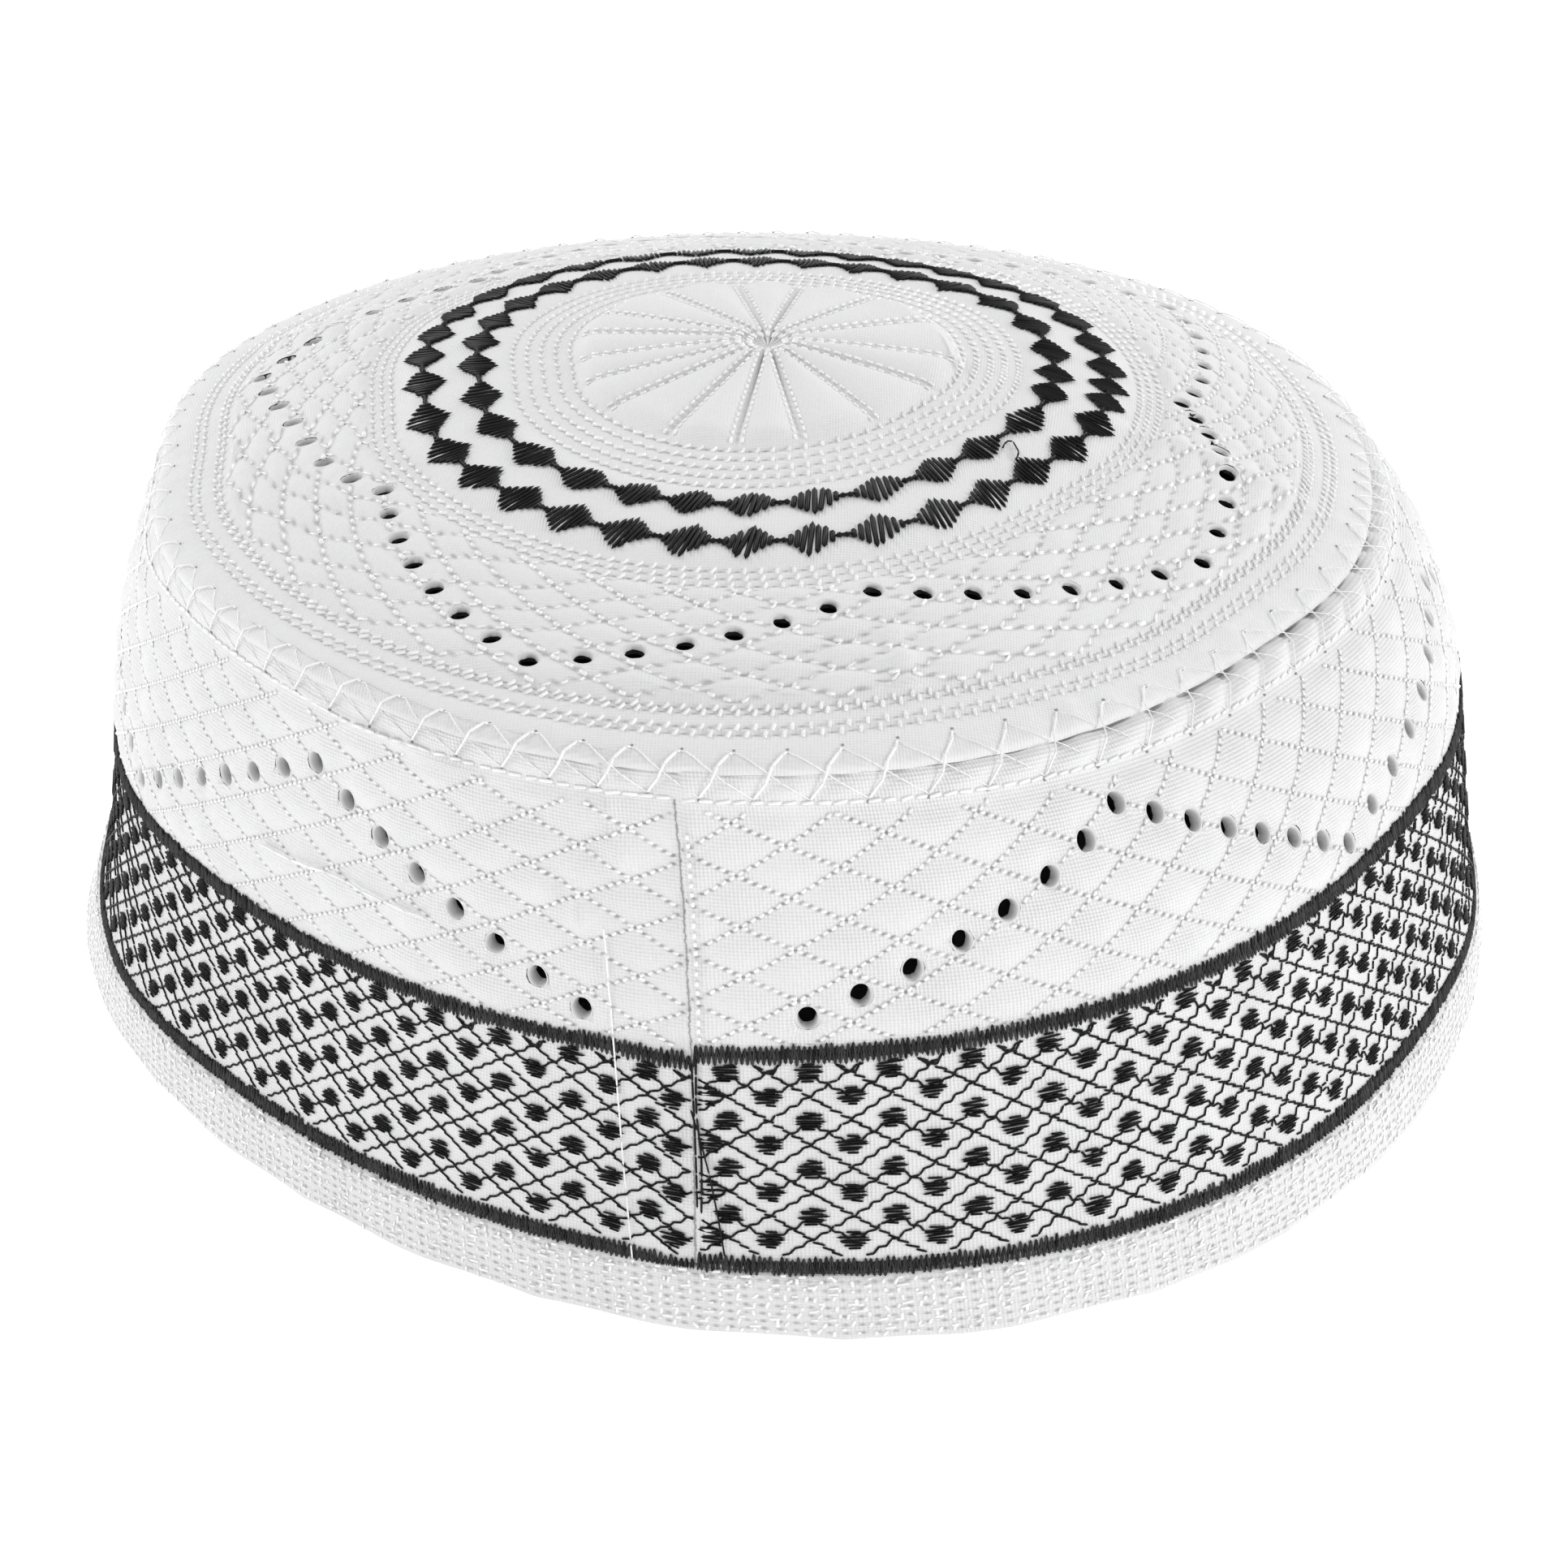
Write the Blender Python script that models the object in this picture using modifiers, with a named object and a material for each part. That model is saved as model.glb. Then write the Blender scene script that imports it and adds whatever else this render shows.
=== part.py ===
# Kufi: a round quilted cap with a domed crown, a straight side band and a stitched hem.
# Black satin diamonds run in two rings on the crown, and two black satin borders run round the band.
# The cap stands on its hem. Its back seam faces -Y, +Z is up and the hem's underside is at Z = 0.

from math import cos, degrees, pi, radians, sin

import bmesh
import bpy
import numpy as np
from mathutils import Matrix, Vector

MM = 0.001

# Outline of the cap, in millimetres, measured on the outside of the cloth
RIM_RADIUS = 90.0
CROWN_RADIUS = 75.6
SIDE_HEIGHT = 61.2
CROWN_RISE = 13.3
CROWN_ROUNDNESS = 1.87
CROWN_LEAN = Vector((-6.2, -2.1, 0.0))
ROSETTE_LEAN = Vector((3.9, 1.1, 0.0))

# Soft dents of the cloth, a row for each wave round the cap. Tuck is a share, the rest are millimetres.
DENT_COLUMNS = ("waves", "rim_cos", "rim_sin", "crown_cos", "crown_sin",
                "height_cos", "height_sin", "tuck_cos", "tuck_sin")
DENTS = (
    (1, 0.0, 0.0, 0.0, 0.0, -3.1, -2.2, 0.25, -0.18),
    (2, -1.6, -0.3, -2.8, -0.3, -1.2, 3.2, 0.22, 0.0),
    (3, -2.4, 1.9, 3.5, 2.9, 0.0, 0.0, 0.0, 0.0),
)

# How the side draws in to the crown: part of it evenly, and the rest in a shoulder near the top
TUCK_SHARE = 0.35
TUCK_POWER = 4
SIDE_HOLLOW = 0.85
WAIST = 0.9

# Cloth, in millimetres
CROWN_CLOTH = 1.2
SIDE_CLOTH = 1.5
HEM_CLOTH = 2.6
GAP = 0.3
CROWN_LIFT = 0.6
EDGE_PROUD = 0.8
EDGE_DROP = 0.5
SIDE_TOP_BELOW_EDGE = 1.4
HEM_TOP = 7.6
SIDE_FOOT = 8.4
HEM_PROUD = 0.3

# Satin embroidery, in millimetres, angles in degrees
SATIN_HEIGHT = 0.6
LOWER_BORDER_Z = 8.8
UPPER_BORDER_Z = 33.2
BORDER_WIDTH = 2.4
NECK_WIDTH = 0.9
RING_COLUMNS = ("name", "diamonds", "radius_share", "width", "first_angle", "pull", "pulled_towards")
RINGS = (
    ("diamond_ring_inner", 30, 0.472, 5.3, 11.0, 4.0, 105.0),
    ("diamond_ring_outer", 36, 0.562, 5.6, 10.4, -4.3, 15.0),
)

# Where the crown's pattern is drawn together (above 0) or spread out (below 0). Angles are in degrees.
STRETCH_COLUMNS = ("angle", "tightness", "reach")
STRETCHES = (
    (192.0, -0.56, 29.0),
    (261.0, 0.20, 15.0),
    (315.0, -0.31, 57.0),
    (356.0, 0.65, 7.0),
)

# Rosette of puffed petals in the middle of the crown
PETALS = 16
ROSETTE_SHARE = 0.31
PETAL_PUFF = 0.9

# Eyelets, in millimetres, angles in degrees. They lie evenly on the legs of zigzags: a five-pointed
# star on the crown, and a zigzag round the side that is given by its turns to each side of the seam.
EYELET_RADIUS = 1.25
EYELET_SIDES = 6
EYELET_DEPTH = 5.0
LEG_STEPS = 7
CROWN_EYELETS = 70
CROWN_EYELET_ANGLE = 180.7
CROWN_EYELET_IN = 0.685
CROWN_EYELET_OUT = 0.868
SIDE_EYELETS_EACH_WAY = 25
TURN_COLUMNS = ("angle", "height")
TURNS_RIGHT = ((-88.2, 37.2), (-62.0, 52.2), (-41.0, 36.5), (-8.0, 47.0), (16.0, 36.0))
TURNS_LEFT = ((-103.7, 36.8), (-125.1, 56.5), (-154.7, 37.5), (-176.0, 56.0), (-200.0, 39.0))

# Mesh
AROUND = 64
CROWN_RINGS = (0.1, 0.2, 0.31, 0.45, 0.6, 0.75, 0.88, 0.97)
SIDE_ROWS = (0.0, 0.25, 0.5, 0.7, 0.85, 0.94, 1.0)
HEM_ROWS = (0.0, 0.5, 1.0)


def dent(column, angle):
    """Sum of the dents in one pair of columns, at an angle round the cap."""
    at = DENT_COLUMNS.index(column + "_cos")
    return sum(row[at] * cos(row[0] * angle) + row[at + 1] * sin(row[0] * angle) for row in DENTS)


def side_height(angle):
    return SIDE_HEIGHT + dent("height", angle)


def around(angle, radius, height):
    return Vector((radius * cos(angle), radius * sin(angle), height))


def side_point(angle, height):
    """Point on the outside of the side cloth, in millimetres."""
    share = height / side_height(angle)
    rim = RIM_RADIUS + dent("rim", angle)
    crown = CROWN_RADIUS + dent("crown", angle)
    tuck = TUCK_SHARE + dent("tuck", angle)
    draw_in = (1 - tuck) * share + tuck * share ** TUCK_POWER
    radius = rim + (crown - rim) * draw_in
    radius -= SIDE_HOLLOW * 4 * share * (1 - share)
    radius -= WAIST * sin(2 * pi * share) * cos(angle) ** 2
    return around(angle, radius, height) + CROWN_LEAN * draw_in


def side_outward(angle, height):
    """Unit normal of the side cloth."""
    step = 0.01
    along = side_point(angle + step, height) - side_point(angle - step, height)
    up = side_point(angle, height + step) - side_point(angle, height - step)
    return along.cross(up).normalized()


def petal_puff(angle, share):
    """Height of the puffed petals above the rosette's stitched spokes."""
    if share >= ROSETTE_SHARE:
        return 0.0
    return PETAL_PUFF * sin(pi * share / ROSETTE_SHARE) * abs(sin(PETALS * angle / 2))


def crown_point(angle, share):
    """Point on the outside of the crown, at a share of the way from the middle to the edge."""
    radius = (CROWN_RADIUS + dent("crown", angle)) * share
    bend = share ** CROWN_ROUNDNESS
    height = SIDE_HEIGHT + CROWN_RISE * (1 - bend) + dent("height", angle) * bend
    height += CROWN_LIFT * bend + petal_puff(angle, share)
    return around(angle, radius, height) + CROWN_LEAN + ROSETTE_LEAN * (1 - share)


def crown_outward(angle, share):
    """Unit normal of the crown."""
    step = 0.01
    along = crown_point(angle + step, share) - crown_point(angle - step, share)
    out = crown_point(angle, share + step) - crown_point(angle, share - step)
    return out.cross(along).normalized()


def zigzag(step):
    """Triangle wave from 1 down to 0 and back, LEG_STEPS steps each way."""
    turn = step % (2 * LEG_STEPS)
    return abs(turn - LEG_STEPS) / LEG_STEPS


def stretch_chart():
    """Angles round the cap, and the angles of the sewn pattern that have come to lie there."""
    lying = np.arange(361.0)
    rate = np.ones(361)
    for row in STRETCHES:
        facts = dict(zip(STRETCH_COLUMNS, row))
        away = (lying - facts["angle"] + 180) % 360 - 180
        rate += facts["tightness"] * np.exp(-(away / facts["reach"]) ** 2)
    sewn = np.concatenate([[0], np.cumsum((rate[1:] + rate[:-1]) / 2)])
    return lying, sewn * 360 / sewn[-1]


LYING, SEWN = stretch_chart()


def drifted(angle):
    """Where an angle of the crown's sewn pattern lies, now that the cloth is pulled round."""
    turns, part = divmod(angle, 2 * pi)
    return radians(float(np.interp(degrees(part), SEWN, LYING))) + turns * 2 * pi


def angles_round():
    return [2 * pi * i / AROUND for i in range(AROUND)]


def cloth_material(name, colour, roughness):
    material = bpy.data.materials.new(name)
    material.use_nodes = True
    shader = material.node_tree.nodes["Principled BSDF"]
    shader.inputs["Base Color"].default_value = (*colour, 1.0)
    shader.inputs["Roughness"].default_value = roughness
    shader.inputs["Metallic"].default_value = 0.0
    material.diffuse_color = (*colour, 1.0)
    return material


def add_object(name, mesh, collection, material=None):
    obj = bpy.data.objects.new(name, mesh)
    collection.objects.link(obj)
    if material:
        mesh.materials.append(material)
    return obj


def mesh_from(bm, name):
    bmesh.ops.recalc_face_normals(bm, faces=bm.faces)
    mesh = bpy.data.meshes.new(name)
    bm.to_mesh(mesh)
    bm.free()
    return mesh


def lofted_surface(name, rows, closed=False):
    """Skin of quads through rows of points that run round the cap; a one-point row is a pole."""
    bm = bmesh.new()
    loops = [[bm.verts.new(point * MM) for point in row] for row in rows]
    pairs = list(zip(loops, loops[1:]))
    if closed:
        pairs.append((loops[-1], loops[0]))
    for lower, upper in pairs:
        count = max(len(lower), len(upper))
        for i in range(count):
            corners = []
            for loop, at in ((lower, i), (lower, i + 1), (upper, i + 1), (upper, i)):
                vert = loop[at % len(loop)]
                if vert not in corners:
                    corners.append(vert)
            bm.faces.new(corners)
    return mesh_from(bm, name)


def give_thickness(obj, cloth):
    """Thickens an open surface towards the inside of the cap."""
    solidify = obj.modifiers.new("cloth", "SOLIDIFY")
    solidify.thickness = cloth * MM
    solidify.offset = -1.0
    solidify.use_even_offset = True


def eyelet_cutters(name, places, collection):
    """One mesh of six-sided pegs, each standing through the cloth at a place and its normal."""
    bm = bmesh.new()
    for point, outward in places:
        turn = outward.to_track_quat("Z", "Y").to_matrix().to_4x4()
        bmesh.ops.create_cone(
            bm, cap_ends=True, segments=EYELET_SIDES, radius1=EYELET_RADIUS * MM,
            radius2=EYELET_RADIUS * MM, depth=EYELET_DEPTH * MM,
            matrix=Matrix.Translation(point * MM) @ turn)
    cutter = add_object(name, mesh_from(bm, name), collection)
    cutter.hide_render = True
    cutter.display_type = "WIRE"
    return cutter


def pierce(obj, cutter):
    boolean = obj.modifiers.new("eyelets", "BOOLEAN")
    boolean.operation = "DIFFERENCE"
    boolean.solver = "EXACT"
    boolean.object = cutter


def crown_eyelet_places():
    places = []
    for step in range(CROWN_EYELETS):
        angle = drifted(radians(CROWN_EYELET_ANGLE) + 2 * pi * step / CROWN_EYELETS)
        share = CROWN_EYELET_IN + (CROWN_EYELET_OUT - CROWN_EYELET_IN) * zigzag(step)
        places.append((crown_point(angle, share), crown_outward(angle, share)))
    return places


def side_eyelet_places():
    """The eyelets on the seam's half of the band, counted both ways from the seam."""
    places = []
    for turns in (TURNS_RIGHT, TURNS_LEFT):
        angles, heights = zip(*turns)
        for step in range(SIDE_EYELETS_EACH_WAY):
            passed = step / LEG_STEPS
            angle = radians(float(np.interp(passed, range(len(turns)), angles)))
            height = float(np.interp(passed, range(len(turns)), heights))
            places.append((side_point(angle, height), side_outward(angle, height)))
    return places


def crown_edge_rows():
    """The crown's edge, turned down a little where it stands proud of the side."""
    shoulder, nose = [], []
    for angle in angles_round():
        outward = side_outward(angle, side_height(angle))
        edge = crown_point(angle, 1.0)
        shoulder.append(edge)
        nose.append(edge + outward * EDGE_PROUD - Vector((0, 0, EDGE_DROP)))
    return [shoulder, nose]


def build_crown(parts, cutters, cloth):
    rows = [[crown_point(0.0, 0.0)]]
    rows += [[crown_point(angle, share) for angle in angles_round()] for share in CROWN_RINGS]
    rows += crown_edge_rows()
    crown = add_object("crown", lofted_surface("crown", rows), parts, cloth)
    give_thickness(crown, CROWN_CLOTH)
    pierce(crown, eyelet_cutters("crown_eyelet_cutter", crown_eyelet_places(), cutters))


def build_side_band(parts, cutters, cloth):
    rows = []
    for share in SIDE_ROWS:
        row = []
        for angle in angles_round():
            top = side_height(angle) - SIDE_TOP_BELOW_EDGE
            row.append(side_point(angle, SIDE_FOOT + (top - SIDE_FOOT) * share))
        rows.append(row)
    band = add_object("side_band", lofted_surface("side_band", rows), parts, cloth)
    give_thickness(band, SIDE_CLOTH)
    pierce(band, eyelet_cutters("side_eyelet_cutter", side_eyelet_places(), cutters))


def build_hem(parts, cloth):
    outside, inside = [], []
    for share in HEM_ROWS:
        height = HEM_TOP * share
        outer = [side_point(angle, height) for angle in angles_round()]
        away = [around(angle, 1.0, 0.0) for angle in angles_round()]
        outside.append([point + out * HEM_PROUD for point, out in zip(outer, away)])
        inside.append([point - out * (HEM_CLOTH - HEM_PROUD) for point, out in zip(outer, away)])
    rows = outside + inside[::-1]
    return add_object("hem", lofted_surface("hem", rows, closed=True), parts, cloth)


def build_border(name, height, parts, thread):
    """Raised satin border, half round in section, just clear of the side cloth."""
    half = BORDER_WIDTH / 2
    section = ((-half, GAP), (0.0, GAP + SATIN_HEIGHT), (half, GAP))
    rows = []
    for up, out in section:
        rows.append([side_point(angle, height + up) + side_outward(angle, height) * out
                     for angle in angles_round()])
    rows.append([side_point(angle, height) + side_outward(angle, height) * GAP
                 for angle in angles_round()])
    add_object(name, lofted_surface(name, rows, closed=True), parts, thread)


def build_diamond_ring(ring, parts, thread):
    """Chain of raised satin diamonds joined by thin necks, just clear of the crown."""
    facts = dict(zip(RING_COLUMNS, ring))
    crest, outer, base, inner = [], [], [], []
    for step in range(2 * facts["diamonds"]):
        sewn = radians(facts["first_angle"]) + pi * step / facts["diamonds"]
        pull = facts["pull"] * cos(sewn - radians(facts["pulled_towards"]))
        angle = drifted(sewn + radians(pull))
        width = NECK_WIDTH if step % 2 else facts["width"]
        share = facts["radius_share"]
        half = width / 2 / CROWN_RADIUS
        outward = crown_outward(angle, share)
        crest.append(crown_point(angle, share) + outward * (GAP + SATIN_HEIGHT))
        base.append(crown_point(angle, share) + outward * GAP)
        outer.append(crown_point(angle, share + half) + outward * GAP)
        inner.append(crown_point(angle, share - half) + outward * GAP)
    rows = [crest, outer, base, inner]
    name = facts["name"]
    add_object(name, lofted_surface(name, rows, closed=True), parts, thread)


def centre_on_origin(outermost):
    """Moves every mesh so that the cap's outermost piece is centred over the origin."""
    corners = [Vector(corner) for corner in outermost.bound_box]
    across = [corner.x for corner in corners]
    along = [corner.y for corner in corners]
    middle = Vector((min(across) + max(across), min(along) + max(along), 0.0)) / 2
    for obj in bpy.data.objects:
        obj.data.transform(Matrix.Translation(-middle))


def main():
    for obj in list(bpy.data.objects):
        bpy.data.objects.remove(obj, do_unlink=True)
    parts = bpy.data.collections.new("kufi")
    cutters = bpy.data.collections.new("kufi_cutters")
    for collection in (parts, cutters):
        bpy.context.scene.collection.children.link(collection)
    white = (0.86, 0.86, 0.86)
    build_crown(parts, cutters, cloth_material("crown_cloth", white, 0.6))
    build_side_band(parts, cutters, cloth_material("side_cloth", white, 0.6))
    hem = build_hem(parts, cloth_material("hem_cloth", white, 0.7))
    black = (0.02, 0.02, 0.022)
    for ring in RINGS:
        build_diamond_ring(ring, parts, cloth_material(ring[0] + "_thread", black, 0.45))
    build_border("border_lower", LOWER_BORDER_Z, parts, cloth_material("lower_thread", black, 0.45))
    build_border("border_upper", UPPER_BORDER_Z, parts, cloth_material("upper_thread", black, 0.45))
    centre_on_origin(hem)


main()
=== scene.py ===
from math import pi, radians

import bmesh
import bpy
import numpy as np
from mathutils import Matrix, Vector, kdtree


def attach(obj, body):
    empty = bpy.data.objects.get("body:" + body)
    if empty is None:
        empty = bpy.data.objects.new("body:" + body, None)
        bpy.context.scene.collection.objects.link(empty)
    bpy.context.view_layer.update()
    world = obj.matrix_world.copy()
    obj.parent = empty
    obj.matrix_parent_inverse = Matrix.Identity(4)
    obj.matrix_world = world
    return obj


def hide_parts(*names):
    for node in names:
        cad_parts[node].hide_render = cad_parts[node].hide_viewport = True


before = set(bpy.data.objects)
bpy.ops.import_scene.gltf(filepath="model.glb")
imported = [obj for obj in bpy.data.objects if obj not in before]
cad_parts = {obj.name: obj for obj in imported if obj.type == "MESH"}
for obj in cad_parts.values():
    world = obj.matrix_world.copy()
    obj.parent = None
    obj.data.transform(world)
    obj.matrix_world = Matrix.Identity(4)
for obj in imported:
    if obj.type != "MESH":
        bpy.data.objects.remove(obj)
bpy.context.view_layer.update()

# Crown cloth.
# A disc of white quilted cotton, domed by its dense stitching and sewn onto the top of the side.
# It has slumped a little, so its edge is high on the left and low on the right. Sizes are in mm,
# angles in degrees, and shares are of the way from the crown's middle to its edge.
MM = 0.001
CAP_MIDDLE = np.array((-2.34, -1.87, 0.0))
CROWN_RADIUS = 75.6
SIDE_HEIGHT = 61.2
CROWN_RISE = 13.3
CROWN_ROUNDNESS = 1.87
CROWN_LEAN = np.array((-6.2, -2.1, 0.0))
ROSETTE_LEAN = np.array((3.9, 1.1, 0.0))
# Dents, a row for each count of waves round the cap.
DENT_COLUMNS = ("waves", "rim_cos", "rim_sin", "crown_cos", "crown_sin",
                "height_cos", "height_sin", "tuck_cos", "tuck_sin")
DENTS = (
    (1, 0.0, 0.0, 0.0, 0.0, -3.1, -2.2, 0.25, -0.18),
    (2, -1.6, -0.3, -2.8, -0.3, -1.2, 3.2, 0.22, 0.0),
    (3, -2.4, 1.9, 3.5, 2.9, 0.0, 0.0, 0.0, 0.0),
)
# Places where the cloth has slumped, where it bulges or (below 0) is hollow, and where its stitched
# rows are pulled outwards or inwards.
WAVE_COLUMNS = ("angle", "reach", "rise")
SLUMPS = ((-22.0, 27.0, -1.9), (-124.0, 14.0, -0.8), (170.0, 36.0, -1.0))
BULGES = ((-66.0, 24.0, 0.5), (-20.0, 13.0, 1.5), (14.0, 14.0, -0.9), (-157.0, 13.0, 1.2),
          (-180.0, 9.0, -0.3))
PULLED_ROWS = ((-125.0, 20.0, 0.006), (-73.0, 12.0, -0.008), (-45.0, 12.0, 0.009))
PULLED_FROM = 0.68
PULL_RAMP = 0.2
PULL_END = 0.06
# Where the sewn pattern is spread out (below 0) or drawn together (above 0), and where the cap is slack.
STRETCHES = ((192.0, 29.0, -0.56), (261.0, 15.0, 0.20), (315.0, 57.0, -0.31), (356.0, 7.0, 0.65))
SLACK_SIDE = ((-35.0, 42.0, 1.0),)
SLACK = 0.45
CROWN_CLOTH = 1.2
CLOTH_BRIGHT = (0.83, 0.83, 0.83)
CLOTH_SHADE = (0.70, 0.70, 0.705)
PIT_REACH = 0.30
SEAM_LINE = 0.19
SEAM_END = 56.6
CROWN_COLUMNS = 440
CROWN_ROW_STEP = 0.0105
EDGE_ROWS = (0.3, 0.6, 0.8, 0.93, 1.0)
PETAL_PUFF = 1.3
PETAL_FULLNESS = 0.55
# The rosette's spokes do not lie evenly.
SPOKES = (27.0, 50.7, 76.0, 96.1, 118.4, 140.4, 157.0, 179.1,
          200.0, 221.6, 245.8, 264.1, 281.1, 306.6, 336.5, 358.4)
ROSETTE_SHARE = 0.316
# Three groups of dashed rings: their shares, stitches and shifts by a part of a stitch.
DASHED_RINGS = (
    (0.321, 0.345, 0.369, 0.392, 0.416),
    (0.618, 0.634, 0.650),
    (0.897, 0.9055, 0.932, 0.945),
)
RING_STITCHES = ((86, 94, 103, 116, 127), (165, 165, 165), (236, 236, 236, 236))
ROW_SHIFTS = ((0.0, 0.15, 0.3, 0.45, 0.6), (0.0, 0.15, 0.3), (0.0, 0.3, 0.32, 0.88))
ROW_REACH = 0.009
ROW_FURROW = 0.22
ROW_FURROW_WIDTH = 0.005
CROWN_EDGE_STITCHES = 3
CROWN_CELLS = 36
CROWN_CELL_HEIGHT = 0.0545
CROWN_QUILT = (0.660, 0.888)
SATIN_BED = (0.43, 0.604)
SATIN_BED_RISE = 0.45
MARGIN_START = 0.958
MARGIN_RISE = 0.15
CROWN_VERTEX = (-91.0, 0.861)
QUILT_PUFF = 0.65
QUILT_FULLNESS = 0.6
CREASE_COLUMNS = ("angle", "up", "width", "length", "rise")
CROWN_CREASES = (
    (-75.5, 63.9, 1.3, 4.5, 0.5), (-104.0, 73.7, 1.2, 1.6, 0.35), (-12.0, 59.0, 1.6, 14.0, 0.7),
    (-62.0, 73.3, 1.4, 1.7, 0.35), (-38.0, 73.5, 1.5, 1.5, 0.4), (148.0, 60.5, 2.2, 9.0, 0.8),
)
SHARP_FROM = 60.0
EDGE_START = 0.984
EDGE_ROLL = 1.0
EDGE_PROUD = 0.35
INSET = 0.45
CROWN_EYELETS = 70
CROWN_LEG_STEPS = 7
CROWN_EYELET_ANGLE = 180.7
CROWN_EYELETS_IN = 0.685
CROWN_EYELETS_OUT = 0.853
HOLE = 1.35
HOLE_EDGE = 2.3
DRAWN_REACH = 2.5
FLAT_LEVEL = 0.55


def dent(column, angle):
    """Sum of the dents in one pair of columns, at angles round the cap."""
    at = DENT_COLUMNS.index(column + "_cos")
    return sum(row[at] * np.cos(row[0] * angle) + row[at + 1] * np.sin(row[0] * angle) for row in DENTS)


def ramp(level, start, length):
    """0 up to a start, then climbing to 1 within a length."""
    return np.clip((level - start) / length, 0, 1)


def around(angle, radius, height):
    return np.stack([radius * np.cos(angle), radius * np.sin(angle), height + 0 * angle], -1)


def wave(rows, angle):
    """Sum of soft swellings round the cap, each as high as its rise and fading within its reach."""
    height = 0.0
    for row in rows:
        facts = dict(zip(WAVE_COLUMNS, row))
        away = (np.degrees(angle) - facts["angle"] + 180) % 360 - 180
        height = height + facts["rise"] * np.exp(-(away / facts["reach"]) ** 2)
    return height


def crown_shape(angle, share):
    """Plain dome, at a share of the way from its middle to its edge, with its outer rows pulled."""
    pull = wave(PULLED_ROWS, angle) * ramp(share, PULLED_FROM, PULL_RAMP) * ramp(1 - share, 0, PULL_END)
    share = share + pull
    radius = (CROWN_RADIUS + dent("crown", angle) + wave(SLUMPS + BULGES, angle)) * share
    bend = share ** CROWN_ROUNDNESS
    height = SIDE_HEIGHT + CROWN_RISE * (1 - bend) + dent("height", angle) * bend
    lean = CROWN_LEAN + ROSETTE_LEAN * (1 - share)[..., None]
    return around(angle, radius, height) + lean - CAP_MIDDLE


def outward(shape, angle, level, step, turn=0.004):
    """Unit normals of a shape. The step along the level is positive where the level climbs."""
    along = shape(angle + turn, level) - shape(angle - turn, level)
    up = shape(angle, level + step) - shape(angle, level - step)
    normal = np.cross(along, up)
    return normal / np.linalg.norm(normal, axis=-1, keepdims=True)


def crown_outward(angle, share):
    return outward(crown_shape, angle, np.maximum(share, 0.02), -0.004)


def stretch_chart():
    """Angles round the cap, and the angles of the sewn pattern that have come to lie there."""
    lying = np.arange(361.0)
    rate = 1 + wave(STRETCHES, np.radians(lying))
    sewn_there = np.concatenate([[0], np.cumsum((rate[1:] + rate[:-1]) / 2)])
    return lying, sewn_there * 360 / sewn_there[-1]


LYING, SEWN = stretch_chart()


def looked_up(angle, known, wanted):
    """Reads one column of the chart from the other, for any number of whole turns."""
    turns = np.floor(angle / (2 * pi))
    return np.radians(np.interp(np.degrees(angle - turns * 2 * pi), known, wanted)) + turns * 2 * pi


def undrifted(angle):
    """The angle of the sewn pattern that lies at an angle round the cap."""
    return looked_up(angle, LYING, SEWN)


def drifted(angle):
    """Where an angle of the sewn pattern now lies."""
    return looked_up(angle, SEWN, LYING)


def slack(angle):
    """1 on the right of the cap, where the crown hangs loosest, fading to 0 away from it."""
    return wave(SLACK_SIDE, angle)


def petal_count(angle):
    """Petals passed from the first spoke on, with fractions between spokes."""
    places = (SPOKES[-1] - 360,) + SPOKES + (SPOKES[0] + 360,)
    return np.interp(np.degrees(angle) % 360, places, range(-1, len(SPOKES) + 1))


def crown_cell_lines(angle, share):
    """Counts of the two families of slanted quilting lines, which waver, crossed up to a place."""
    wobble = 0.05 * np.sin(9 * angle + 31 * share) + 0.04 * np.sin(23 * angle - 18 * share)
    turn = (undrifted(angle) - radians(CROWN_VERTEX[0])) / (2 * pi) * CROWN_CELLS + wobble
    climb = (share - CROWN_VERTEX[1]) / CROWN_CELL_HEIGHT + wobble * 0.8
    return turn + climb, turn - climb


def puffed(lines):
    """1 in the middle of a quilted cell and 0 on its stitched lines."""
    return np.abs(np.sin(pi * lines[0]) * np.sin(pi * lines[1])) ** QUILT_FULLNESS


def between(level, low, high, soft):
    """1 from a low to a high level, with soft ends inside them."""
    return ramp(level, low, soft) * ramp(high - level, 0, soft)


def creased(creases, angle, up, radius):
    """Soft ridges and furrows, each so many mm wide round the cap and so many long up it."""
    height = 0.0
    for row in creases:
        facts = dict(zip(CREASE_COLUMNS, row))
        away = (angle - radians(facts["angle"]) + pi) % (2 * pi) - pi
        across, along = away * radius / facts["width"], (up - facts["up"]) / facts["length"]
        height = height + facts["rise"] * np.exp(-across ** 2 - along ** 2)
    return height


def crown_eyelet_places():
    """Angles and shares of the eyelets, which lie on the legs of a five-pointed star."""
    step = np.arange(CROWN_EYELETS)
    out = np.abs(step % (2 * CROWN_LEG_STEPS) - CROWN_LEG_STEPS) / CROWN_LEG_STEPS
    share = CROWN_EYELETS_IN + (CROWN_EYELETS_OUT - CROWN_EYELETS_IN) * out
    return drifted(2 * pi * step / CROWN_EYELETS + radians(CROWN_EYELET_ANGLE)), share


def drawn_flat(angle, radius, height, eyelets):
    """1 beside an eyelet, whose worked rim draws the cloth flat, fading to 0 some 4 mm from it."""
    places = around(angle, radius, height)[:, None] - around(*eyelets)[None]
    return np.exp(-(np.linalg.norm(places, axis=2).min(1) / DRAWN_REACH) ** 4)


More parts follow.
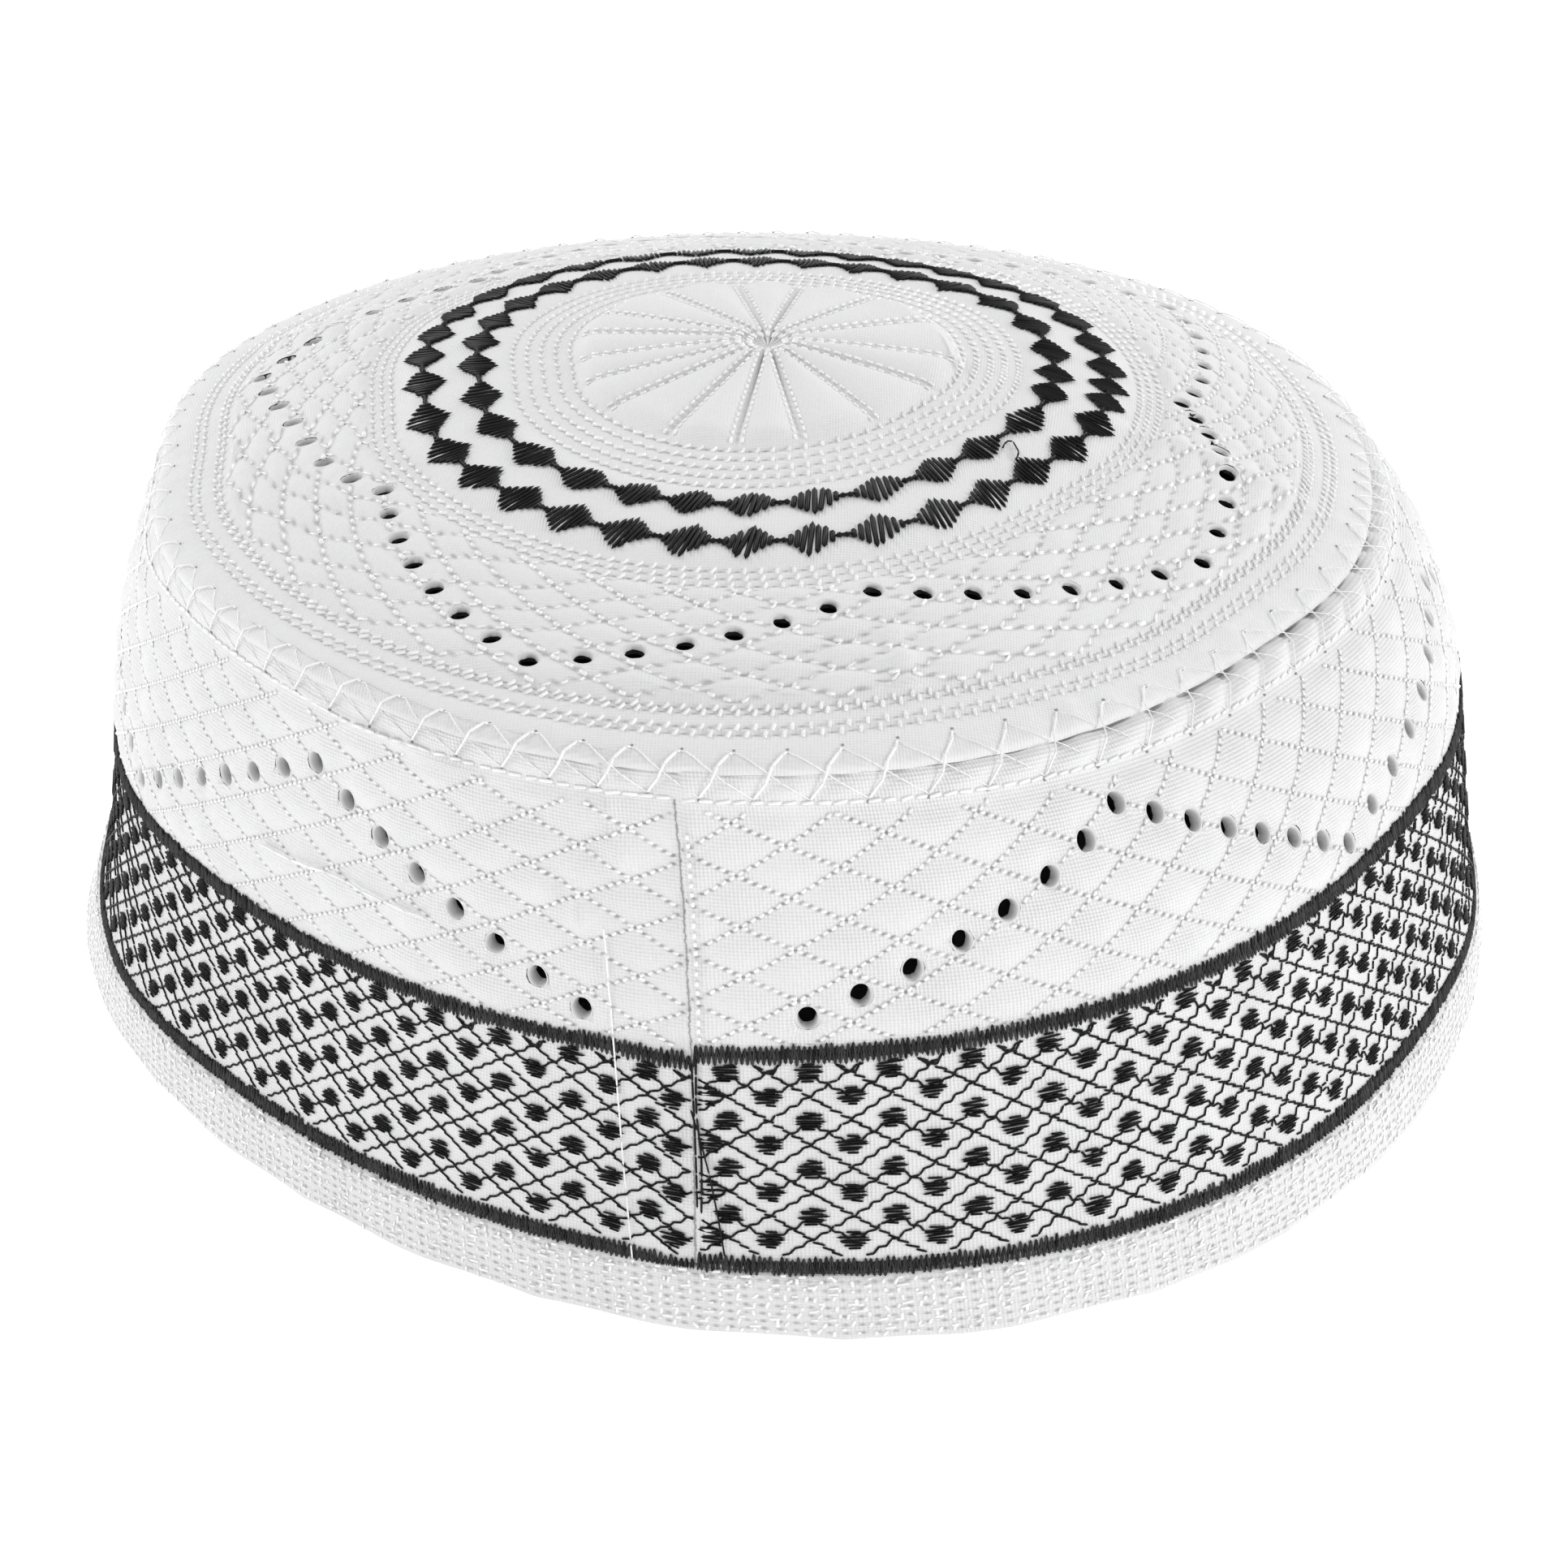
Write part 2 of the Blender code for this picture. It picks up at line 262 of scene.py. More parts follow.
def crown_relief(angle, share):
    """Height of the quilted surface above the plain dome, in mm."""
    petal = np.abs(np.sin(pi * petal_count(angle))) ** PETAL_FULLNESS
    petal = petal * ramp(share, 0, 0.05) * between(share, -1, ROSETTE_SHARE, 0.03)
    cells = puffed(crown_cell_lines(angle, share)) * between(share, *CROWN_QUILT, 0.012)
    places, shares = crown_eyelet_places()
    flat = drawn_flat(angle, share * CROWN_RADIUS, 0.0, (places, shares * CROWN_RADIUS, 0.0))
    cells = cells * (1 - flat) + FLAT_LEVEL * flat
    height = PETAL_PUFF * petal + QUILT_PUFF * cells * (1 + 0.3 * np.sin(5 * angle + 11 * share))
    height += SATIN_BED_RISE * between(share, *SATIN_BED, 0.02)
    for rows in DASHED_RINGS:
        for share_of_row in rows:
            height = height - ROW_FURROW * np.exp(-((share - share_of_row) / ROW_FURROW_WIDTH) ** 2)
    height += MARGIN_RISE * between(share, MARGIN_START, 1.2, 0.012) * (1 + 0.5 * np.sin(80 * angle))
    return height + creased(CROWN_CREASES, angle, share * CROWN_RADIUS, share * CROWN_RADIUS) - INSET


def crown_skin(angle, share):
    """The quilted crown. Past EDGE_START its margin rolls over and down to the side."""
    skin = crown_shape(angle, share) + crown_outward(angle, share) * crown_relief(angle, share)[..., None]
    roll = ramp(share, EDGE_START, 1 - EDGE_START)
    drop = EDGE_ROLL * (1 - np.sqrt(1 - roll ** 2))
    proud = (EDGE_PROUD + SLACK * slack(angle)) * np.sin(roll * pi / 2)
    return skin + around(angle, proud, -drop)


def row_levels(rows, low, high, step):
    """Mesh rows on and between the stitched rows, and evenly over the plain stretches."""
    levels = [low, high]
    for group in rows:
        levels += list(group) + [(a + b) / 2 for a, b in zip(group, group[1:])]
        levels += [group[0] - ROW_REACH, group[-1] + ROW_REACH]
    levels = sorted(level for level in levels if low <= level <= high)
    filled = []
    for a, b in zip(levels, levels[1:]):
        filled += list(np.linspace(a, b, max(1, round((b - a) / step)), endpoint=False))
    return np.array(filled + [high])


def crown_sewing(angle, share, face_share):
    """Count of stitched lines and of stitches passed, and 1 in the dashed rings or 2 in the quilt."""
    lines = crown_cell_lines(angle, share)
    quilted = (face_share > CROWN_QUILT[0]) & (face_share < CROWN_QUILT[1])
    sewing = np.stack([lines[0], lines[1], 2.0 + 0 * angle], -1) * quilted[:, None]
    for group, counts, shifts in zip(DASHED_RINGS, RING_STITCHES, ROW_SHIFTS):
        near = (face_share > group[0] - ROW_REACH) & (face_share < group[-1] + ROW_REACH)
        rows = np.interp(share, (group[0] - 0.02,) + group + (group[-1] + 0.02,), range(-1, len(group) + 1))
        row = np.abs(face_share[:, None] - np.array(group)).argmin(1)
        stitches = np.array(counts)[row]
        passed = (undrifted(angle) * stitches / (2 * pi) - np.array(shifts)[row]) / CROWN_EDGE_STITCHES
        sewing[near] = np.stack([rows, passed, 1.0 + 0 * angle], -1)[near]
    return sewing


def sheet_of_cloth(name, skin, levels, columns, chart, sewing):
    """Open skin wrapped round the cap: a flat grid whose columns go round and whose rows are levels."""
    bm = bmesh.new()
    bmesh.ops.create_grid(bm, x_segments=columns, y_segments=len(levels) - 1, size=0.5)
    mesh = bpy.data.meshes.new(name)
    bm.to_mesh(mesh)
    flat = np.zeros(len(mesh.vertices) * 3)
    mesh.vertices.foreach_get("co", flat)
    flat = flat.reshape(-1, 3)
    column = np.round((flat[:, 0] + 0.5) * columns)
    row = np.round((flat[:, 1] + 0.5) * (len(levels) - 1)).astype(int)
    angle, level = column * 2 * pi / columns, levels[row]
    mesh.vertices.foreach_set("co", (skin(angle, level) * MM).ravel())
    corner = np.zeros(len(mesh.loops), int)
    mesh.loops.foreach_get("vertex_index", corner)
    spread = mesh.uv_layers.new(name="cloth")
    spread.data.foreach_set("uv", np.stack(chart(angle, level), -1)[corner].ravel())
    face_level = np.repeat(level[corner].reshape(-1, 4).mean(1), 4)
    sewn_at = mesh.attributes.new("sewing", "FLOAT_VECTOR", "CORNER")
    sewn_at.data.foreach_set("vector", sewing(angle[corner], level[corner], face_level).ravel())
    bm.clear()
    bm.from_mesh(mesh)
    bmesh.ops.remove_doubles(bm, verts=bm.verts, dist=0.00001)
    return bm, mesh


def pierce(bm, eyelets):
    """Opens round holes in an open skin: faces go, and the edge left is drawn onto a circle."""
    faces = kdtree.KDTree(len(bm.faces))
    bm.faces.ensure_lookup_table()
    for face in bm.faces:
        faces.insert(face.calc_center_median(), face.index)
    faces.balance()
    gone = set()
    for centre, _ in eyelets:
        gone |= {index for _, index, _ in faces.find_range(centre, HOLE * 0.95 * MM)}
    bmesh.ops.delete(bm, geom=[bm.faces[index] for index in gone], context="FACES")
    edge = [vert for vert in bm.verts if vert.is_boundary]
    tree = kdtree.KDTree(len(edge))
    for index, vert in enumerate(edge):
        tree.insert(vert.co, index)
    tree.balance()
    for centre, normal in eyelets:
        for _, index, _ in tree.find_range(centre, HOLE_EDGE * MM):
            away = edge[index].co - centre
            rise = away.dot(normal)
            away -= normal * rise
            edge[index].co = centre + away.normalized() * HOLE * MM + normal * rise


def finished(name, bm, mesh, material, thickness=None):
    """Turns a bmesh into a piece of the cap, with a thickness towards its inside if it is a skin."""
    bm.to_mesh(mesh)
    bm.free()
    piece = bpy.data.objects.new(name, mesh)
    bpy.context.scene.collection.objects.link(piece)
    mesh.materials.append(material)
    if thickness:
        solidify = piece.modifiers.new("cloth", "SOLIDIFY")
        solidify.thickness = thickness * MM
        solidify.offset = -1.0
        # The inner faces and the cut edges take the near-black painted shade of the cloth's back.
        solidify.material_offset = 1
        solidify.material_offset_rim = 1
        mesh.materials.append(shaded_cloth_back)
        graph = bpy.context.evaluated_depsgraph_get()
        piece.data = bpy.data.meshes.new_from_object(piece.evaluated_get(graph))
        piece.modifiers.clear()
    piece.data.shade_smooth()
    piece.data.set_sharp_from_angle(angle=radians(SHARP_FROM))
    return piece


def vectors(points):
    return [Vector(point) for point in points]


class Socket:
    """A shader socket that takes part in ordinary sums."""

    def __init__(self, shader, socket):
        self.shader = shader
        self.socket = socket

    def sum(self, operation, *values):
        return self.shader.node("ShaderNodeMath", {"operation": operation}, *values)

    def __add__(self, other):
        return self.sum("ADD", self, other)

    def __sub__(self, other):
        return self.sum("SUBTRACT", self, other)

    def __rsub__(self, other):
        return self.sum("SUBTRACT", other, self)

    def __mul__(self, other):
        return self.sum("MULTIPLY", self, other)

    __radd__ = __add__
    __rmul__ = __mul__

    def __lt__(self, other):
        return self.sum("LESS_THAN", self, other)

    def __abs__(self):
        return self.sum("ABSOLUTE", self)

    def sine(self):
        return self.sum("SINE", self)

    def at_least(self, other):
        return self.sum("MAXIMUM", self, other)

    def at_most(self, other):
        return self.sum("MINIMUM", self, other)

    def near_whole(self, reach):
        """1 where the value is a whole number, falling to 0 at a reach from it."""
        away = abs(self - self.sum("ROUND", self))
        return (1 - away * (1 / reach)).at_least(0.0)


class Finish:
    """A material whose nodes are added one call at a time."""

    def __init__(self, name, roughness, **constants):
        self.material = bpy.data.materials.new(name)
        self.material.use_nodes = True
        self.tree = self.material.node_tree
        self.surface = self.tree.nodes["Principled BSDF"]
        self.surface.inputs["Roughness"].default_value = roughness
        for socket, value in constants.items():
            self.surface.inputs[socket.replace("_", " ")].default_value = value

    def node(self, kind, settings, *values, output=0, **named):
        """Adds a node: its settings are set first, then the values or links of its sockets."""
        node = self.tree.nodes.new(kind)
        for setting, value in settings.items():
            setattr(node, setting, value)
        for index, value in list(enumerate(values)) + list(named.items()):
            socket = node.inputs[index]
            if isinstance(value, Socket):
                self.tree.links.new(value.socket, socket)
            elif value is not None:
                socket.default_value = value
        return Socket(self, node.outputs[output])

    def blend(self, share, first, second):
        """Mixes two colours. A Mix node keeps its colour sockets after those for plain values."""
        unused = (None,) * 5
        return self.node("ShaderNodeMix", {"data_type": "RGBA"}, share, *unused, first, second, output=2)

    def feed(self, name, value):
        self.tree.links.new(value.socket, self.surface.inputs[name])


def cotton(name, pitch, weave, depth, per_edge, line_reach, pit=0.40, seam=None):
    """White cotton with a dotted weave, read from the cloth's own flat chart in mm.

    Between the stitches the needle leaves small pits, which follow the cloth's sewing counts.
    They are dented in the bump and greyed with painted shade.
    A seam is a crease where the chart closes on itself, once in so many mm, drawn as a dark line of painted
    shade.
    """
    finish = Finish(name, 0.62, Sheen_Weight=0.2, Sheen_Roughness=0.4, Specular_IOR_Level=0.3)
    chart = finish.node("ShaderNodeUVMap", {"uv_map": "cloth"})
    split = finish.node("ShaderNodeSeparateXYZ", {}, chart).socket.node
    across, up = Socket(finish, split.outputs[0]), Socket(finish, split.outputs[1])
    turn = 2 * pi / pitch
    dots = ((across + up) * turn).sine() * ((across - up) * turn).sine()
    patches = finish.node("ShaderNodeTexNoise", {}, chart, Scale=0.13, Detail=2.0)
    slub = finish.node("ShaderNodeTexNoise", {}, chart, Scale=1.6, Detail=4.0)
    uneven = finish.node("ShaderNodeTexNoise", {}, chart, Scale=0.55, Detail=1.0)
    counts = finish.node("ShaderNodeAttribute", {"attribute_name": "sewing"}, output=1)
    split = finish.node("ShaderNodeSeparateXYZ", {}, counts).socket.node
    first, second, kind = (Socket(finish, split.outputs[k]) for k in range(3))
    sewn_here = kind.at_most(1.0)
    quilted = (kind - 1.0).at_least(0.0)
    rows = first.near_whole(line_reach) * sewn_here
    crossing_rows = second.near_whole(line_reach) * quilted
    pits = rows * (second * per_edge).near_whole(PIT_REACH)
    crossing_pits = crossing_rows * (first * per_edge).near_whole(PIT_REACH)
    pits = pits.at_least(crossing_pits) * (uneven * 2.2)
    furrows = rows.at_least(crossing_rows)
    tint = slub * 0.5 + patches * 0.3 + dots * patches * weave + 0.1
    clean = finish.blend(tint, (*CLOTH_SHADE, 1.0), (*CLOTH_BRIGHT, 1.0))
    # Painted shade: the stitched lines are darkened, as if in the shade of their furrows.
    shaded_colour = finish.blend(furrows * 0.18, clean, (0.55, 0.55, 0.55, 1.0))
    # Painted shade: the needle pits are greyed, as if in their own shade.
    shaded_colour = finish.blend(pits * 1.2, shaded_colour, (pit, pit, pit, 1.0))
    if seam:
        # Painted shade: a dark line along the seam's crease.
        fold = ((across + slub * 0.5) * (1 / seam)).near_whole(SEAM_LINE / seam)
        shaded_colour = finish.blend(fold * (up < SEAM_END) * 1.1, shaded_colour, (0.30, 0.30, 0.30, 1.0))
    finish.feed("Base Color", shaded_colour)
    height = dots * patches * 1.6 + slub * 0.5 - pits * 2.4
    finish.feed("Normal", finish.node("ShaderNodeBump", {}, Strength=0.7, Distance=depth * MM,
                                      Height=height))
    return finish.material


# Painted shade: the back of the cloth is near black, for the dark inside of the cap and its holes; the
# cotton itself is white.
shaded_cloth_back = Finish("shaded_cloth_back", 0.9, Base_Color=(0.05, 0.05, 0.05, 1.0), Specular_IOR_Level=0.1).material
plain_levels = row_levels(DASHED_RINGS, 0.0, EDGE_START, CROWN_ROW_STEP)
rolled_levels = EDGE_START + (1 - EDGE_START) * np.array(EDGE_ROWS)
crown_levels = np.concatenate([plain_levels, rolled_levels])
bm, mesh = sheet_of_cloth("crown_cloth", crown_skin, crown_levels, CROWN_COLUMNS,
                          lambda a, s: (s * CROWN_RADIUS * np.cos(a), s * CROWN_RADIUS * np.sin(a)),
                          crown_sewing)
crown_eyelets = list(zip(vectors(crown_skin(*crown_eyelet_places()) * MM),
                         vectors(outward(crown_skin, *crown_eyelet_places(), -0.016, 0.02))))
pierce(bm, crown_eyelets)
crown_cotton = cotton("crown_cotton", pitch=0.7, weave=0.15, depth=0.05,
                      per_edge=CROWN_EDGE_STITCHES, line_reach=0.15, pit=0.50)
bmesh.ops.recalc_face_normals(bm, faces=bm.faces)
crown_cloth = finished("crown_cloth", bm, mesh, crown_cotton, CROWN_CLOTH)
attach(crown_cloth, "root")
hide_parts("crown")

# White stitching of the crown.
# Short glossy cotton stitches, each a small plump dash with blunt ends, sunk a little into the cloth.
# They run down the rosette's spokes in pairs, round the crown in rings, and slantwise over the quilt.
STITCH_LENGTH = 1.0
STITCH_WIDTH = 0.72
STITCH_HEIGHT = 0.62
RING_WIDTH = 0.50
FINE_WIDTH = 0.5
FINE_HEIGHT = 0.42
SPOKE_LINES = (-0.62, 0.62)
CLEAR_OF_EYELET = 1.7
RING_TILT = 1.35
RINGS_PULLED_STRAIGHT = ((190.0, 62.0, 0.95), (-25.0, 35.0, 0.75))
rng = np.random.default_rng(7)


def dash():
    """A blunt four-sided dash along X, one unit long and a little less wide and high."""
    bm = bmesh.new()
    bmesh.ops.create_uvsphere(bm, u_segments=4, v_segments=3, radius=0.5)
    for vert in bm.verts:
        if abs(vert.co.z) < 0.4:
            vert.co.z = 0.38 if vert.co.z > 0 else -0.38
    bmesh.ops.rotate(bm, verts=bm.verts, matrix=Matrix.Rotation(pi / 2, 3, "Y"))
    bmesh.ops.triangulate(bm, faces=bm.faces)
    bmesh.ops.recalc_face_normals(bm, faces=bm.faces)
    bm.verts.ensure_lookup_table()
    points = np.array([vert.co[:] for vert in bm.verts])
    faces = np.array([[vert.index for vert in face.verts] for face in bm.faces])
    bm.free()
    return points, faces


DASH = dash()


def sewn(name, threads, material, width, height, sink=0.0):
    """One mesh of many threads. Each is a start, an end and an outward direction, in mm."""
    start = np.concatenate([thread[0] for thread in threads])
    end = np.concatenate([thread[1] for thread in threads])
    normal = np.concatenate([thread[2] for thread in threads])
    points, faces = DASH
    along = end - start
    side = np.cross(normal, along)
    side *= np.reshape(width, (-1, 1)) / np.linalg.norm(side, axis=1, keepdims=True)
    middle = (start + end) / 2 + normal * (height * 0.5 - sink)
    axes = np.stack([along, side, normal * height], 1)
    corners = (np.einsum("pk,nkd->npd", points, axes) + middle[:, None]) * MM
    mesh = bpy.data.meshes.new(name)
    total, size = len(start), len(points)
    mesh.vertices.add(total * size)
    mesh.vertices.foreach_set("co", corners.ravel())
    index = (faces[None] + (np.arange(total) * size)[:, None, None]).ravel()
    mesh.loops.add(len(index))
    mesh.loops.foreach_set("vertex_index", index)
    mesh.polygons.add(len(index) // 3)
    mesh.polygons.foreach_set("loop_start", np.arange(0, len(index), 3))
    mesh.update(calc_edges=True)
    tone = mesh.attributes.new("tone", "FLOAT", "POINT")
    tone.data.foreach_set("value", np.repeat(rng.random(total), size).astype(np.float32))
    mesh.materials.append(material)
    mesh.shade_smooth()
    piece = bpy.data.objects.new(name, mesh)
    bpy.context.scene.collection.objects.link(piece)
    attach(piece, "root")
    return piece


def along_line(skin, normal_of, angle, level, pitch, length, jitter=0.12):
    """Stitches at an even pitch along a line that runs over a skin."""
    points, normals = skin(angle, level), normal_of(angle, level)
    run = np.concatenate([[0], np.cumsum(np.linalg.norm(np.diff(points, axis=0), axis=1))])
    count = max(1, int(run[-1] / pitch))
    middle = (np.arange(count) + 0.5) * run[-1] / count + rng.normal(0, jitter * pitch / 2, count)
    reach = length * rng.uniform(0.85, 1.15, count) / 2

    def at(where, values):
        return np.stack([np.interp(where, run, values[:, k]) for k in range(3)], 1)

    return at(middle - reach, points), at(middle + reach, points), at(middle, normals)


def tilted(threads, turn):
    """The same threads, each turned about its outward direction, and a little unevenly."""
    start, end, normal = threads
    middle, half = (start + end) / 2, (end - start) / 2
    turn = np.asarray(turn + rng.normal(0, 0.06, len(start)))[:, None]
    half = half * np.cos(turn) + np.cross(normal, half) * np.sin(turn)
    return middle - half, middle + half, normal


def thread_finish(name, dark, light, roughness, **constants):
    """Twisted thread: a tone for each stitch, and fine plies that show as a bump."""
    finish = Finish(name, roughness, **constants)
    tone = finish.node("ShaderNodeAttribute", {"attribute_name": "tone"}, output=2)
    finish.feed("Base Color", finish.blend(tone, (*dark, 1.0), (*light, 1.0)))
    place = finish.node("ShaderNodeTexCoord", {}, output=3)
    plies = finish.node("ShaderNodeTexNoise", {}, place, Scale=5200.0, Detail=1.0)
    finish.feed("Normal", finish.node("ShaderNodeBump", {}, Strength=0.35, Distance=0.00004, Height=plies))
    return finish.material


white_thread = thread_finish("white_thread", (0.88, 0.88, 0.88), (0.98, 0.98, 0.98), 0.32,
                             Specular_IOR_Level=0.8, Sheen_Weight=0.2)


def ring_stitches(share, shift, stitches, length):
    """Stitches of one dashed ring, midway between its needle pits."""
    sewn_angle = (np.arange(stitches) + 0.5 + shift) * 2 * pi / stitches
    angle = drifted(sewn_angle)
    reach = length / 2 / (CROWN_RADIUS * share) * rng.uniform(0.85, 1.15, stitches)
    share = np.full(stitches, share)
    return crown_skin(angle - reach, share), crown_skin(angle + reach, share), crown_outward(angle, share)


def quilt_stitches(cells, per_edge, reach, place, inside):
    """Stitches on both families of slanted lines, midway between their needle pits."""
    found = []
    lines = np.arange(-12, cells + 12)
    marks = (np.arange(-12 * per_edge, (cells + 12) * per_edge) + 0.5) / per_edge
    line, mark = (grid.ravel() for grid in np.meshgrid(lines, marks, indexing="ij"))
    for first, second, along in ((line, mark, (0, 1)), (mark, line, (1, 0))):
        turn, climb = (first + second) / 2, (first - second) / 2
        kept = (turn > 0) & (turn < cells) & inside(turn, climb)
        ends = []
        for way in (-reach, reach):
            a, b = first[kept] + way * along[0], second[kept] + way * along[1]
            ends.append(place((a + b) / 2, (a - b) / 2)[0])
        found.append((ends[0], ends[1], place(turn[kept], climb[kept])[1]))
    return found


def crown_place(turn, climb):
    """A place in the quilt from its counts of cells round and up, found by a few steps nearer."""
    share = CROWN_VERTEX[1] + climb * CROWN_CELL_HEIGHT
    angle = drifted(radians(CROWN_VERTEX[0]) + turn * 2 * pi / CROWN_CELLS)
    for _ in range(3):
        lines = crown_cell_lines(angle, share)
        short = turn - (lines[0] + lines[1]) / 2
        short = short - CROWN_CELLS * np.round(short / CROWN_CELLS)
        angle = angle + short * 2 * pi / CROWN_CELLS
        share = share + (climb - (lines[0] - lines[1]) / 2) * CROWN_CELL_HEIGHT
    return crown_skin(angle, share), crown_outward(angle, share)


def in_crown_quilt(turn, climb):
    share = CROWN_VERTEX[1] + climb * CROWN_CELL_HEIGHT
    return (share > CROWN_QUILT[0] + 0.004) & (share < CROWN_QUILT[1] + 0.002)


ring_threads = []
for group, counts, shifts in zip(DASHED_RINGS, RING_STITCHES, ROW_SHIFTS):
    for share, stitches, shift in zip(group, counts, shifts):
        threads = ring_stitches(share, shift, stitches, STITCH_LENGTH)
        straight = wave(RINGS_PULLED_STRAIGHT, np.arctan2(threads[0][:, 1], threads[0][:, 0]))
        ring_threads.append(tilted(threads, RING_TILT - straight))
fine_stitches = []
for spoke in SPOKES:
    for offset in SPOKE_LINES:
        share = np.linspace(0.02, ROSETTE_SHARE - 0.006, 60)
        lean = offset / (share * CROWN_RADIUS + 2.0)
        fine_stitches.append(along_line(crown_skin, crown_outward, radians(spoke) + lean, share,
                                        pitch=1.35, length=0.85))
rising, falling = quilt_stitches(CROWN_CELLS, CROWN_EDGE_STITCHES, 0.085, crown_place, in_crown_quilt)
thick_stitches = [tilted(falling, 0.15)]
fine_stitches.append(tilted(rising, 0.35))


def clear_of(threads, eyelets, reach):
    """Leaves out the threads whose middles lie within a reach of an eyelet."""
    centres = np.array([centre[:] for centre, _ in eyelets]) / MM
    kept = []
    for start, end, normal in threads:
        middle = (start + end) / 2
        far = np.linalg.norm(middle[:, None] - centres[None], axis=2).min(1) > reach
        kept.append((start[far], end[far], normal[far]))
    return kept


crown_stitching = sewn("crown_stitching", clear_of(thick_stitches, crown_eyelets, CLEAR_OF_EYELET),
                       white_thread, STITCH_WIDTH, STITCH_HEIGHT, sink=0.14)
ring_stitching = sewn("ring_stitching", ring_threads, white_thread, RING_WIDTH, STITCH_HEIGHT, sink=0.14)
crown_fine_stitching = sewn("crown_fine_stitching", clear_of(fine_stitches, crown_eyelets, CLEAR_OF_EYELET),
                            white_thread, FINE_WIDTH, FINE_HEIGHT, sink=0.10)

# Black diamond rings.
# Two rings of satin stitch: glossy black threads side by side, long in the middle of a diamond and
# short at the neck that joins it to the next one.
DIAMOND_COLUMNS = ("name", "diamonds", "share", "height", "first", "pull", "pulled_towards", "nudges")
DIAMONDS = (
    ("diamond_ring_inner", 30, 0.472, 5.5, 11.0, 4.0, 105.0,
     ((-150.0, 12.0, -2.0), (-120.0, 15.0, 2.3), (-95.0, 30.0, 2.2), (-35.0, 15.0, -2.0))),
    ("diamond_ring_outer", 36, 0.562, 5.9, 10.4, -4.3, 15.0, ((-50.0, 45.0, 3.3), (-95.0, 15.0, 0.9))),
)
SATIN_PITCH = 0.60
SATIN_WIDTH = 0.62
SATIN_HEIGHT = 0.5
SATIN_PARTED = ((-82.0, 26.0, 1.0),)
PARTED_PITCH = 0.20
PARTED_WIDTH = 0.10
SATIN_LEAN = -0.16
SWELL_END = 1.18
SWELL_POWER = 1.25
NECK = 0.3
NECK_THREAD = 0.15
black_thread = thread_finish("black_thread", (0.002, 0.002, 0.0022), (0.010, 0.010, 0.011), 0.42,
                             Specular_IOR_Level=0.18)


def ring_place(facts, sewn_angle):
    """Where an angle of a ring now lies: it has been pulled to one side, and nudged here and there."""
    pulled = facts["pull"] * np.cos(sewn_angle - radians(facts["pulled_towards"]))
    angle = drifted(sewn_angle + np.radians(pulled))
    return angle + np.radians(wave(facts["nudges"], angle))


def satin_angles(share):
    """Angles of a ring's threads, which lie further apart at the front, where the cloth is stretched."""
    even = np.linspace(0, 2 * pi, 721)
    pitch = SATIN_PITCH + PARTED_PITCH * wave(SATIN_PARTED, drifted(even))
    passed = np.concatenate([[0], np.cumsum(CROWN_RADIUS * share * np.diff(even) / pitch[1:])])
    return np.interp(np.arange(int(passed[-1])) * passed[-1] / int(passed[-1]), passed, even)


def diamond_ring(facts):
    """Satin threads across the ring, long in the diamonds, over a running thread that joins them."""
    share = facts["share"]
    sewn_angle = satin_angles(share)
    count = len(sewn_angle)
    turn = (sewn_angle - radians(facts["first"])) * facts["diamonds"] / (2 * pi)
    swell = np.clip(1 - (SWELL_END * (1 - np.abs(2 * (turn % 1) - 1))) ** SWELL_POWER, 0, 1)
    angle = ring_place(facts, sewn_angle)
    half = (NECK + (facts["height"] / 2 - NECK) * swell) * rng.uniform(0.93, 1.05, count) / CROWN_RADIUS
    middle = share + rng.normal(0, 0.0008, count)
    slant = rng.normal(SATIN_LEAN, 0.04, count) * half / share
    start = crown_skin(angle - slant, middle - half)
    end = crown_skin(angle + slant, middle + half)
    across = (start, end, crown_outward(angle, middle))
    pitch = 2 * pi / facts["diamonds"]
    neck = (np.arange(facts["diamonds"]) + 0.5) * pitch + radians(facts["first"])
    before = ring_place(facts, neck - NECK_THREAD * pitch)
    after = ring_place(facts, neck + NECK_THREAD * pitch)
    level = np.full(len(neck), share)
    joining = (crown_skin(before, level), crown_skin(after, level), crown_outward(before, level))
    width = SATIN_WIDTH + PARTED_WIDTH * wave(SATIN_PARTED, np.concatenate([angle, neck]))
    return [across, joining], width


for row in DIAMONDS:
    facts = dict(zip(DIAMOND_COLUMNS, row))
    threads, width = diamond_ring(facts)
    ring = sewn(facts["name"] + "_satin", threads, black_thread, width, SATIN_HEIGHT)
    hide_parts(facts["name"])

# Eyelet rims.
# Each hole is worked round with white thread, which draws the cloth down into a small funnel. Its
# inner edge is uneven where the threads end. On the left of the crown the funnels are deeper.
RIM_SIZE = 0.97
RIM_DEPTH = 0.50
DEEP_SIDE = ((170.0, 55.0, 1.0),)
DEEP_SIZE = 0.15
DEEP_DEPTH = 0.6
# The funnel's section is a closed loop of radii and heights.
FUNNEL = ((1.72, -0.15), (1.46, 0.02), (1.30, 0.00), (1.18, -0.20), (1.12, -1.00), (1.22, -1.10),
          (1.50, -0.60))
FUNNEL_STEPS = 17
RAGGED_BELOW = -0.3


